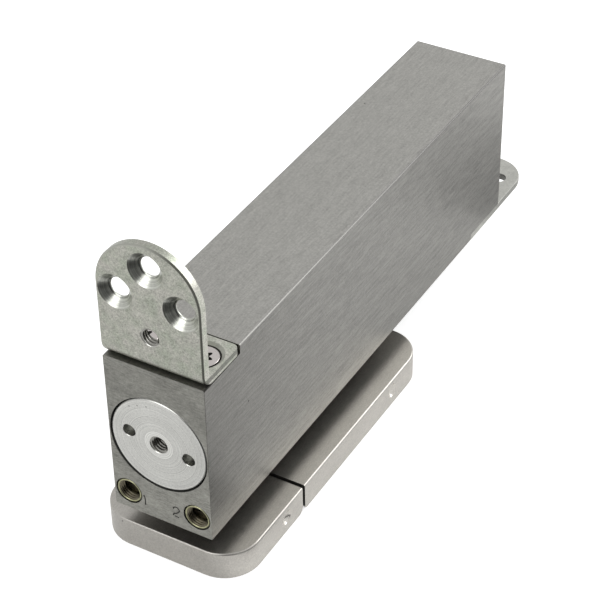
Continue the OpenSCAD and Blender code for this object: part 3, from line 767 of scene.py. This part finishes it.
# %% The dimple and its patch
DIMPLE_DEPTH = 1.25
DIMPLE_BALL = 3.05
DIMPLE_REACH = math.sqrt(DIMPLE_BALL**2 - (DIMPLE_BALL - DIMPLE_DEPTH) ** 2)
PATCH = 2.6
PATCH_CUTS = 25


def press_dimple(cover, dimple_y):
    """Pushes a dimple into both side walls."""
    for shift in (-PATCH, PATCH):
        slice_pan(cover, (0, dimple_y + shift, 0), (0, 1, 0))
        slice_pan(cover, (0, 0, DIMPLE_Z + shift), (0, 0, 1))
    for side in (-1, 1):

        def in_patch(face):
            spot = middle(face)
            near_dimple = abs(spot.y - dimple_y) < PATCH and abs(spot.z - DIMPLE_Z) < PATCH
            return near_dimple and spot.x * side > far_high.x - HAIR

        pick(cover, "FACE", in_patch)
        bpy.ops.mesh.subdivide(number_cuts=PATCH_CUTS)
        put_down()
        for corner in cover.data.vertices:
            reach = math.hypot(corner.co.y - dimple_y, corner.co.z - DIMPLE_Z)
            if same(corner.co.x * side, far_high.x) and reach < DIMPLE_REACH:
                corner.co.x -= side * (math.sqrt(DIMPLE_BALL**2 - reach**2) - DIMPLE_BALL + DIMPLE_DEPTH)


print("dimples", round(2 * DIMPLE_REACH, 2), "mm wide and", DIMPLE_DEPTH, "deep")

# %% [markdown]
# ## From the pan to a cover
# The dimpled skin is cut off at the split and given its thickness, so the inner wall follows each dimple.
# Then the opening for the spindle is cut. The rim is rounded on the thick sheet, because its radius is less
# than the thickness. Last come the lower corners at the split, and painted shade on its cut face.

# %% The two covers
COVER_EDGE = 0.6
COVER_BREAK = 0.12
SPINDLE_CLEARANCE = 10
SPLIT_RELIEF = 0.4


def on_rim(edge):
    """True for the edges round the top of a cover, and not for those at the split or in the opening."""
    spot = middle(edge)
    level = spot.z > far_high.z - HAIR and same(edge.verts[0].co.z, edge.verts[1].co.z)
    upright = [face for face in edge.link_faces if abs(face.normal.z) < 0.1]
    at_split = min(abs(spot.y - near_high.y), abs(spot.y - far_low.y)) < 1 and runs_along(edge, 0)
    in_opening = math.hypot(spot.x, spot.y) < SPINDLE_CLEARANCE + 0.1
    return level and len(upright) == 1 and not at_split and not in_opening


def make_cover(name, dimple_y, split_y, split_corner, keep_far):
    """One half of the pan, dimpled, split off, thickened and cut round the spindle."""
    cover = make_pan()
    press_dimple(cover, dimple_y)
    slice_pan(cover, (0, split_y, 0), (0, 1, 0), clear_inner=keep_far, clear_outer=not keep_far)
    modify(cover, "SOLIDIFY", thickness=SHEET, offset=-1, use_even_offset=True)
    opening = turned("spindle_opening", [(0, 5), (SPINDLE_CLEARANCE, 5), (SPINDLE_CLEARANCE, 12), (0, 12)])
    cut(cover, painted(opening, cover_finish))
    painted(cover, cover_finish)
    round_edges(cover, COVER_EDGE, 7, on_rim)

    def at_lower_corner(edge):
        spot = middle(edge)
        return runs_along(edge, 0) and same(spot.y, split_y) and spot.z < near_low.z + HAIR

    round_edges(cover, split_corner, 6, at_lower_corner)
    break_edges(cover, COVER_BREAK, 2, sharp=60)
    # Painted shade: the cut face at the split is painted dark.
    paint_faces(cover, gap_shade_finish, lambda face: same(middle(face).y, split_y))
    cover.name = cover.data.name = name + "_pressed"
    hand_over(cover, name, "cover_stainless", name)


make_cover("near_cover", DIMPLE_YS[0], near_high.y - SPLIT_RELIEF, split_corner=2.4, keep_far=False)
make_cover("far_cover", DIMPLE_YS[1], far_low.y + SPLIT_RELIEF, split_corner=1.2, keep_far=True)

# %% [markdown]
# ## The end bracket
# The bracket is a strip of sheet with a round end, bent once. It is made the same way here: a plate whose
# upper corners are rounded until they meet in an arch, a bend spun about its centre, and a foot pulled out of
# it. The holes are cut with turned shapes that carry a finish of their own, as a drill leaves its own marks.

# %% The bent sheet
bracket_low, bracket_high = low_high("end_bracket")
bracket_half = bracket_high.x
near_y = bracket_low.y
BEND_INSIDE = 1.6
FOOT_CORNER = 2.0
OUTER_EDGE = 0.5
INNER_EDGE = 0.2
bend_outside = BEND_INSIDE + BRACKET_SHEET
bend_y = near_y + bend_outside
bend_z = bracket_low.z + bend_outside
foot_top = bracket_low.z + BRACKET_SHEET


def make_bent_sheet():
    """The upright with its arch, the bend and the foot."""
    sheet = block(
        "bent_sheet",
        Vector((-bracket_half, near_y, bend_z)),
        Vector((bracket_half, near_y + BRACKET_SHEET, bracket_high.z)),
    )
    pick(sheet, "EDGE", lambda edge: runs_along(edge, 1) and middle(edge).z > bend_z + 1)
    bpy.ops.mesh.bevel(offset=bracket_half - 0.001, segments=32, profile=0.5)
    bpy.ops.mesh.select_all(action="SELECT")
    bpy.ops.mesh.remove_doubles(threshold=HAIR)
    put_down()
    pick(sheet, "FACE", lambda face: face.normal.z < -0.9)
    bpy.ops.mesh.spin(steps=10, angle=math.pi / 2, center=(0, bend_y, bend_z), axis=(-1, 0, 0))
    put_down()

    def at_bend_end(face):
        spot = middle(face)
        return face.normal.y > 0.999 and spot.z < bend_z and same(spot.y, bend_y)

    pick(sheet, "FACE", at_bend_end)
    bpy.ops.mesh.extrude_region_move(TRANSFORM_OT_translate={"value": (0, bracket_high.y - bend_y, 0)})
    put_down()
    round_edges(sheet, FOOT_CORNER, 6, upright_at(bracket_high.y))
    return sheet


sheet = make_bent_sheet()


def on_outer_side(edge):
    """True for the edges of the side that is outside the bend."""
    spot = middle(edge)
    from_bend = math.hypot(min(spot.y - bend_y, 0), min(spot.z - bend_z, 0))
    return from_bend > bend_outside - 0.1


def on_shaded_edge(face):
    """True for the rounding along the front of the arch and of the bend."""
    spot = middle(face)
    if spot.z > bend_z:
        return spot.y < near_y + OUTER_EDGE and 0.1 < abs(face.normal.y) < 0.95
    from_bend = math.hypot(spot.y - bend_y, spot.z - bend_z)
    in_bend = spot.y < bend_y and spot.z > bracket_low.z + 0.8 and from_bend > bend_outside - OUTER_EDGE
    return in_bend and 0.1 < abs(face.normal.x) < 0.95


painted(sheet, bracket_finish)
break_edges(sheet, OUTER_EDGE, 2, test=on_outer_side, sharp=60)
break_edges(sheet, INNER_EDGE, 2, test=lambda edge: not on_outer_side(edge), sharp=60)
# Painted shade: the rounding along the front of the arch and the bend is painted dark on the right.
paint_faces(sheet, arch_edge_shade_finish, on_shaded_edge)
print("bent sheet of", [round(size, 1) for size in sheet.dimensions], "mm")

# %% Its holes
CIRCLE_Z = 97.4
CIRCLE_REACH = 10.7
TAPPED_Z = 85.4
FOOT_SCREW_X = 10.1
FOOT_SCREW_Y = -27.9
SINK_RADIUS = 5.75
SCREW_HOLE_RADIUS = 3.1
THREAD_OUTER = 3.0
THREAD_INNER = 2.47
THREAD_PITCH = 1.0
THREAD_CHAMFER = 0.12
RIDGE_ROOT = 0.05
FOOT_HOLE_RADIUS = 2.55
FOOT_SINK_RADIUS = 6.3
FOOT_LAND = 0.05
SCREW_SUNK = 0.75


def drill(finish, profile, x, y, z, steps=96, put=lay):
    """A turned cutter that goes into a face from the front, or upwards with put=stand."""
    return painted(put(turned("drill", profile, steps), x, y, z), finish)


def sink_profile(head, hole):
    """A cone of 45 degrees that ends in a hole, from 1 mm before the face to 4 mm behind it."""
    return [(0, -1), (head, -1), (head, 0), (hole, head - hole), (hole, 4), (0, 4)]


def countersink(x, z):
    return drill(countersink_finish, sink_profile(SINK_RADIUS, SCREW_HOLE_RADIUS), x, near_y, z)


def foot_sink(side):
    """A hole that widens into a sink. A ring of corners at the head's face parts its wall in two."""
    slope = (FOOT_SINK_RADIUS - FOOT_HOLE_RADIUS) / (BRACKET_SHEET - FOOT_LAND)
    profile = [
        (0, -1), (FOOT_HOLE_RADIUS, -1), (FOOT_HOLE_RADIUS, FOOT_LAND),
        (FOOT_SINK_RADIUS - slope * SCREW_SUNK, BRACKET_SHEET - SCREW_SUNK),
        (FOOT_SINK_RADIUS, BRACKET_SHEET), (FOOT_SINK_RADIUS, 4), (0, 4),
    ]
    return drill(sink_finish, profile, side * FOOT_SCREW_X, FOOT_SCREW_Y, bracket_low.z, put=stand)


for across, up in ((-1, 0), (0, 1), (1, 0)):
    cut(sheet, countersink(across * CIRCLE_REACH, CIRCLE_Z + up * CIRCLE_REACH))
tapped_profile = sink_profile(THREAD_OUTER + THREAD_CHAMFER, THREAD_OUTER)
cut(sheet, foot_sink(-1), foot_sink(1), drill(drilled_finish, tapped_profile, 0, near_y, TAPPED_Z))


def beside_head(face):
    """True for the lower part of both sinks, which a head hides but for a dark ring."""
    spot = middle(face)
    reach = math.hypot(abs(spot.x) - FOOT_SCREW_X, spot.y - FOOT_SCREW_Y)
    return 2 < reach < FOOT_SINK_RADIUS - 0.6 and bracket_low.z + 0.1 < spot.z < foot_top - SCREW_SUNK


# Painted shade: the sinks beside the screw heads are painted dark.
print("faces beside the screw heads:", paint_faces(sheet, gap_shade_finish, beside_head))

# %% [markdown]
# ## The threads
# A thread is a ridge that climbs as it turns. The Screw modifier sweeps one four-sided section round the axis
# and lifts it by one pitch for each turn. Two cuts with Bisect then trim both ends of the ridge flat.

# %% The thread in the bracket, joined to its sheet
ridge = thread("bracket_thread", THREAD_OUTER + RIDGE_ROOT, THREAD_INNER, THREAD_PITCH, BRACKET_SHEET - 0.25)
painted(lay(ridge, 0, near_y + THREAD_CHAMFER, TAPPED_Z), thread_shade_finish)
hand_over(joined("end_bracket_bent", [sheet, ridge]), "closer", "plated_sheet", "end_bracket", smooth=30)

# %% [markdown]
# ## The screws in the foot
# Each screw has a flat head with a six-lobed socket. The head is turned from its profile. The socket is cut
# by a round rod whose radius swells and shrinks six times on the way round.

# %% Two countersunk screws
screw_low, screw_high = low_high("bracket_screws")
HEAD_RADIUS = 4.75
HEAD_LAND = 0.14
HEAD_HEIGHT = 2.3
SHANK_RADIUS = 2.5
SOCKET_MEAN = 2.35
SOCKET_SWELL = 0.62
SOCKET_DEPTH = 1.8


def lobed_socket():
    """A rod with six lobes, upright, its top above zero."""
    bpy.ops.mesh.primitive_cylinder_add(vertices=96, radius=SOCKET_MEAN, depth=SOCKET_DEPTH + 1)
    rod = named("socket")
    for corner in rod.data.vertices:
        turn = math.atan2(corner.co.y, corner.co.x)
        swell = 1 + SOCKET_SWELL / SOCKET_MEAN * math.cos(6 * turn)
        corner.co.x *= swell
        corner.co.y *= swell
    return painted(stand(rod, 0, 0, (1 - SOCKET_DEPTH) / 2), recess_shade_finish)


def make_foot_screw(side):
    shank_from = screw_low.z - screw_high.z
    profile = [
        (0, 0), (HEAD_RADIUS - 0.1, 0), (HEAD_RADIUS, -0.08), (HEAD_RADIUS, -HEAD_LAND),
        (SHANK_RADIUS, -HEAD_HEIGHT), (SHANK_RADIUS, shank_from), (0, shank_from),
    ]
    screw = painted(turned("foot_screw", profile), screw_finish)
    cut(screw, lobed_socket())
    break_edges(screw, 0.12, 1, lambda edge: middle(edge).z > -HAIR and middle(edge).to_2d().length < 3)
    return stand(screw, side * FOOT_SCREW_X, FOOT_SCREW_Y, screw_high.z)


foot_screws = joined("bracket_screws_turned", [make_foot_screw(-1), make_foot_screw(1)])
hand_over(foot_screws, "closer", "screw_steel", "bracket_screws", smooth=30)

# %% [markdown]
# ## The end plug
# The plug is a lathe job: one profile of radius and depth, spun about its axis. The two spanner holes and
# three small punch marks are cut afterwards, and the puller thread is a ridge like the one in the bracket.

# %% The plug
PLUG_RADIUS = 16.22
PLUG_CHAMFER = 0.35
PLUG_SUNK = 0.25
BORE_RADIUS = 13.95
GROOVE_RADIUS = 12.2
FLANGE = 4.0
GROOVE_FRONT = 7.6
GROOVE_BACK = 9.8
PLUG_LENGTH = 12.0
PULLER_DEPTH = 9.5
HOLE_CHAMFER = 0.15
PIN_REACH = 10.2
PIN_TURN = math.radians(8)
PIN_RADIUS = 2.1
PIN_DEPTH = 6.0
PUNCH_MARKS = ((-9.37, 10.96), (-6.52, 12.32), (-3.4, 13.06))
plug_x, plug_z = plug_centre.x / MM, plug_centre.z / MM

plug_profile = [
    (0, PULLER_DEPTH), (THREAD_OUTER, PULLER_DEPTH), (THREAD_OUTER, PLUG_SUNK + HOLE_CHAMFER),
    (THREAD_OUTER + HOLE_CHAMFER, PLUG_SUNK), (PLUG_RADIUS - PLUG_CHAMFER, PLUG_SUNK),
    (PLUG_RADIUS, PLUG_SUNK + PLUG_CHAMFER), (PLUG_RADIUS, FLANGE), (BORE_RADIUS, FLANGE),
    (BORE_RADIUS, GROOVE_FRONT), (GROOVE_RADIUS, GROOVE_FRONT), (GROOVE_RADIUS, GROOVE_BACK),
    (BORE_RADIUS, GROOVE_BACK), (BORE_RADIUS, PLUG_LENGTH), (0, PLUG_LENGTH),
]
plug = painted(lay(turned("plug", plug_profile, 128), plug_x, near_y, plug_z), plug_finish)


def pin_hole(side):
    reach = side * PIN_REACH
    profile = [
        (0, -1), (PIN_RADIUS + HOLE_CHAMFER, -1), (PIN_RADIUS + HOLE_CHAMFER, PLUG_SUNK),
        (PIN_RADIUS, PLUG_SUNK + HOLE_CHAMFER), (PIN_RADIUS, PIN_DEPTH - 0.8), (0, PIN_DEPTH),
    ]
    place = (reach * math.cos(PIN_TURN), near_y, plug_z - reach * math.sin(PIN_TURN))
    return drill(drilled_finish, profile, *place, steps=48)


def punch_mark(x, z):
    point = [(0, -0.2), (0.3, -0.2), (0.2, 0), (0, 0.25)]
    return drill(recess_shade_finish, point, x, near_y + PLUG_SUNK, plug_z + z, steps=16)


def on_plug_rim(face):
    """True for the outer wall of the plug's flange, which lies in the gap."""
    return abs(math.hypot(middle(face).x, middle(face).z - plug_z) - PLUG_RADIUS) < 0.03


# Painted shade: the plug's outer wall in the gap is painted dark.
paint_faces(plug, gap_shade_finish, on_plug_rim)
cut(plug, pin_hole(-1), pin_hole(1), *[punch_mark(x, z) for x, z in PUNCH_MARKS])
ridge_length = PULLER_DEPTH - PLUG_SUNK - 0.6
ridge = thread("puller_thread", THREAD_OUTER + RIDGE_ROOT, THREAD_INNER, THREAD_PITCH, ridge_length)
painted(lay(ridge, plug_x, near_y + PLUG_SUNK + 0.25, plug_z), thread_shade_finish)
hand_over(joined("end_plug_turned", [plug, ridge]), "closer", "plug_aluminium", "end_plug", smooth=25)

# %% [markdown]
# ## The valve sleeves
# A yellow passivated sleeve lines each valve hole. A closed profile, turned, comes out as a tube, and the
# first few turns of its inner thread are added because light catches them.

# %% Two sleeves
SLEEVE_RADIUS = 4.15
SLEEVE_BORE = 3.66
SLEEVE_THREAD = 0.36
SLEEVE_ROOT = 0.04
SLEEVE_PITCH = 0.8
SLEEVE_CHAMFER = 0.12
SLEEVE_FRONT = 0.2
SLEEVE_STEP = 8.3
SLEEVE_STEM = 2.1
SLEEVE_BACK = 13.8
NEEDLE_FACE = 3.2
VALVE_X = 11.9
VALVE_Z = 22.8
sleeve_profile = [
    (SLEEVE_STEM, SLEEVE_BACK), (SLEEVE_STEM, SLEEVE_STEP), (SLEEVE_BORE, SLEEVE_STEP),
    (SLEEVE_BORE, SLEEVE_FRONT + SLEEVE_CHAMFER), (SLEEVE_BORE + SLEEVE_CHAMFER, SLEEVE_FRONT),
    (SLEEVE_RADIUS - 0.1, SLEEVE_FRONT), (SLEEVE_RADIUS, SLEEVE_FRONT + 0.1),
    (SLEEVE_RADIUS, SLEEVE_BACK), (SLEEVE_STEM, SLEEVE_BACK),
]


def make_sleeve(name, side):
    x = side * VALVE_X
    tube = painted(lay(turned("tube", sleeve_profile), x, near_y, VALVE_Z), sleeve_finish)
    inner = SLEEVE_BORE - SLEEVE_THREAD
    ridge = thread("ridge", SLEEVE_BORE + SLEEVE_ROOT, inner, SLEEVE_PITCH, NEEDLE_FACE - 0.45)
    # Painted shade: the sleeve's thread takes the needle's dark steel, so the bore looks shaded.
    painted(lay(ridge, x, near_y + SLEEVE_FRONT + SLEEVE_CHAMFER, VALVE_Z), needle_and_bore_shade_finish)
    hand_over(joined(name + "_turned", [tube, ridge]), "closer", "sleeve_yellow", name, smooth=30)


make_sleeve("valve_sleeve_1", -1)
make_sleeve("valve_sleeve_2", 1)

# %% [markdown]
# ## The tail plate
# The tongue under the tail is a flat bar with two large corners. It starts as a block; the corners and then
# all the sharp edges are bevelled, and its four holes are cut.

# %% The tongue
tail_low, tail_high = low_high("tail_plate")
TAIL_CORNER = 12
TAIL_EDGE = 0.3
TAIL_HOLE_X = 10
TAIL_HOLE_RADIUS = 2.75
TAIL_HOLE_EDGE = 12
TAIL_SCREW_X = 9
TAIL_SCREW_RADIUS = 2.05
TAIL_HEAD_RADIUS = 4.0
tail_screw_y = sum(low_high("tail_screws"), Vector()).y / 2


def make_tail_plate():
    plate = block("tail_plate_cut", tail_low, tail_high)
    round_edges(plate, TAIL_CORNER, 16, upright_at(tail_high.y))
    break_edges(plate, TAIL_EDGE, 2, sharp=60)
    painted(plate, zinc_finish)
    thick = tail_high.z - tail_low.z
    hole = [(0, -1), (TAIL_HOLE_RADIUS, -1), (TAIL_HOLE_RADIUS, thick + 1), (0, thick + 1)]
    sink = sink_profile(TAIL_HEAD_RADIUS, TAIL_SCREW_RADIUS)
    hole_y = tail_high.y - TAIL_HOLE_EDGE
    for side in (-1, 1):
        hole_x, screw_x = side * TAIL_HOLE_X, side * TAIL_SCREW_X
        # Painted shade: the through holes take the floor plate's dark zinc inside.
        cut(plate, drill(floor_zinc_and_hole_shade, hole, hole_x, hole_y, tail_low.z, 64, stand))
        cut(plate, drill(countersink_finish, sink, screw_x, tail_screw_y, tail_low.z, 64, stand))
    return plate


hand_over(make_tail_plate(), "closer", "plated_sheet", "tail_plate", smooth=30)

# %% [markdown]
# ## The block
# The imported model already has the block's many chambers. So the block is copied and cleaned up, its outer
# edges are broken as a file would do it, and the two stamped figures are cut in with thin tubes that follow
# their strokes and lie half in the face.

# %% A copy of the housing with broken edges
housing_high = low_high("housing")[1]
STEP_LENGTH = 19.15
PLUG_RECESS = 16.65
SEAT_CHAMFER = 0.45
FILED_EDGE = 0.07
housing = painted(copy_of("housing", "housing_milled"), block_finish)


def on_seat(edge):
    """True for the two long edges of the bracket's seat."""
    spot = middle(edge)
    on_floor = same(spot.z, bracket_low.z) and abs(spot.x) > bracket_half - 1
    return on_floor and near_y + 0.2 < spot.y < near_y + STEP_LENGTH - 0.1


def on_outside(edge):
    """True for the other edges that a hand can reach."""
    spot = middle(edge)
    at_ends = same(spot.y, near_y) or same(spot.y, housing_high.y)
    at_step = same(spot.y, near_y + STEP_LENGTH) and spot.z > bracket_low.z + 1
    return at_ends or at_step


# Painted shade: the chamfers along the bracket's seat are painted dark, for the seam between foot and block.
break_edges(housing, SEAT_CHAMFER, 1, test=on_seat, finish=gap_shade_finish)
break_edges(housing, FILED_EDGE, 1, test=on_outside)


def on_long_edge(face):
    """True for the narrow faces along the upper edges of the block."""
    slanted = abs(face.normal.x) > 0.1 and face.normal.z > 0.1
    return slanted and middle(face).z > housing_high.z - 1 and abs(middle(face).x) > housing_high.x - 1


# Painted shade on the faces along the upper edges, darker towards the far end.
print("faces along the upper edges:", paint_faces(housing, far_edge_shade_finish, on_long_edge))


def in_plug_gap(face):
    """True for the wall round the plug."""
    spot = middle(face)
    reach = math.hypot(spot.x - plug_x, spot.z - plug_z)
    return abs(reach - PLUG_RECESS) < 0.1 and near_y + 0.12 < spot.y < near_y + FLANGE


# Painted shade: the housing's wall round the plug is painted dark.
print("faces of the gap round the plug:", paint_faces(housing, gap_shade_finish, in_plug_gap))

# %% The figures beside the valves
FIGURE_1 = [(-6.73, 22.83), (-6.4, 23.46), (-6.25, 22.4), (-6.17, 21.27), (-6.22, 19.66)]
FIGURE_2 = [
    (3.73, 22.74), (3.85, 23.23), (4.47, 23.68), (5.13, 23.66), (5.63, 23.21),
    (5.88, 22.6), (5.36, 21.8), (4.67, 21.24), (3.95, 20.95), (3.56, 20.08),
]
FIGURE_2_FOOT = [(4.1, 20.0), (5.59, 19.85)]
STROKE = 0.23


def stroke(points):
    """A thin tube along a stroke."""
    line = bpy.data.curves.new("stroke", "CURVE")
    line.dimensions = "3D"
    line.bevel_depth = STROKE
    line.bevel_resolution = 2
    line.use_fill_caps = True
    spline = line.splines.new("POLY")
    spline.points.add(len(points) - 1)
    for point, (x, z) in zip(spline.points, points):
        point.co = (x, near_y, z, 1)
    tube = bpy.data.objects.new("stroke", line)
    bpy.context.scene.collection.objects.link(tube)
    only(tube)
    bpy.ops.object.convert(target="MESH")
    return painted(bpy.context.object, recess_shade_finish)


for points in (FIGURE_1, FIGURE_2, FIGURE_2_FOOT):
    cut(housing, stroke(points))
hand_over(housing, "closer", "block_aluminium", "housing", smooth=30)

# %% [markdown]
# ## The closing spring
# The spring lies hidden in the bore, between the carriage and a disc at its closed end. As the door opens,
# the carriage comes towards the disc and the spring gets shorter. A imported part keeps its length, so a copy
# stands in for it. The share of its length that it would keep towards the disc, by the way that the carriage
# goes, is worked out and printed.

# %% A copy of the spring and the share of its length that it keeps
SPRING_DISC_Y = 143.5
spring_low = low_high("closing_spring")[0]
slide = next(joint for joint in frame["joints"] if joint["name"] == "carriage_slide")
spring = painted(copy_of("closing_spring", "closing_spring_wound"), spring_finish)
hand_over(spring, "closer", "spring_steel", "closing_spring")
shortened = 1 - slide["range_m"][1] / MM / (SPRING_DISC_Y - spring_low.y)
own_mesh(spring)
print("the spring keeps", round(shortened, 4), "of its length")

# %% [markdown]
# ## Floor and light
# The photograph is lit from all round, as in a white tent, with a dark camera side. The floor is white to the
# camera and dimmer to the metal. An even white world stands for the tent, and two softboxes give the bright
# rims. Two black cards and a small grey one, seen only in reflections, give the block its dark side and
# darken one side of each countersink, as the dark room behind the camera does.

# %% The floor
bpy.ops.mesh.primitive_plane_add(size=6)
floor = named("floor")
FLOOR_FOR_CAMERA = 0.6
FLOOR_FOR_METAL = 0.12


def make_floor_finish():
    """A white floor that keeps a soft shadow and that metal sees too."""
    finish = Finish("white_floor")
    camera_ray = finish.node("LightPath", {}, {}, "Is Camera Ray")
    glossy_ray = finish.node("LightPath", {}, {}, "Is Glossy Ray")
    clear_ray = finish.node("LightPath", {}, {}, "Is Transmission Ray")
    glow = camera_ray * FLOOR_FOR_CAMERA + (glossy_ray + clear_ray) * FLOOR_FOR_METAL
    finish.set(Base_Color=(0.8, 0.8, 0.8), Roughness=0.9, Specular_IOR_Level=0.0)
    return finish.set(Emission_Color=finish.shade((1, 1, 1), glow), Emission_Strength=1.0)


painted(floor, make_floor_finish())

# %% The world
SKY_STRENGTH = 0.75
world = bpy.data.worlds.new("studio")
bpy.context.scene.world = world
world.use_nodes = True
sky = world.node_tree.nodes["Background"]
sky.inputs["Color"].default_value = (1, 1, 1, 1)
sky.inputs["Strength"].default_value = SKY_STRENGTH
print("world", world.name, "at strength", SKY_STRENGTH)

# %% The softboxes and the cards
OBJECT_MIDDLE = Vector((0, 0.04, 0.06))


def softbox(name, toward, distance, width, height, glow):
    """A square lamp that looks at the object from a direction. Glow is its brightness where it is seen."""
    lamp = bpy.data.lights.new(name, "AREA")
    lamp.shape = "RECTANGLE"
    lamp.size = width
    lamp.size_y = height
    lamp.energy = glow * math.pi * width * height
    tripod = bpy.data.objects.new(name, lamp)
    bpy.context.scene.collection.objects.link(tripod)
    direction = Vector(toward).normalized()
    tripod.location = OBJECT_MIDDLE + direction * distance
    tripod.rotation_euler = direction.to_track_quat("Z", "Y").to_euler()
    print(name, width, "by", height, "m")


softbox("front_softbox", (-0.15, -0.716, 0.682), 0.9, 0.62, 0.25, 3.0)
softbox("back_softbox", (0.46, 0.72, 0.46), 1.0, 0.7, 0.8, 2.6)

black_card = Finish("black_card", Base_Color=(0.02, 0.02, 0.02), Roughness=0.9)
grey_card = Finish("grey_card", Base_Color=(0.42, 0.42, 0.42), Roughness=0.9)


def card(name, finish, width, height, place, turn=(0, 0, 0)):
    """A card that only reflections see."""
    bpy.ops.mesh.primitive_plane_add(size=1, location=place, rotation=turn)
    board = painted(named(name), finish)
    board.scale = (width, height, 1)
    board.visible_camera = board.visible_diffuse = board.visible_shadow = False
    print(name, width, "by", height, "m")


card("floor_card", black_card, 0.6, 0.638, (0.333, -0.321, 0.002))
card("far_floor_card", grey_card, 0.045, 0.06, (0.046, 0.196, 0.002))
card("upright_card", black_card, 0.5, 0.8, (0.38, -0.56, 0.402), (math.radians(90), 0, math.radians(36)))
bpy.context.scene.view_settings.view_transform = "Standard"
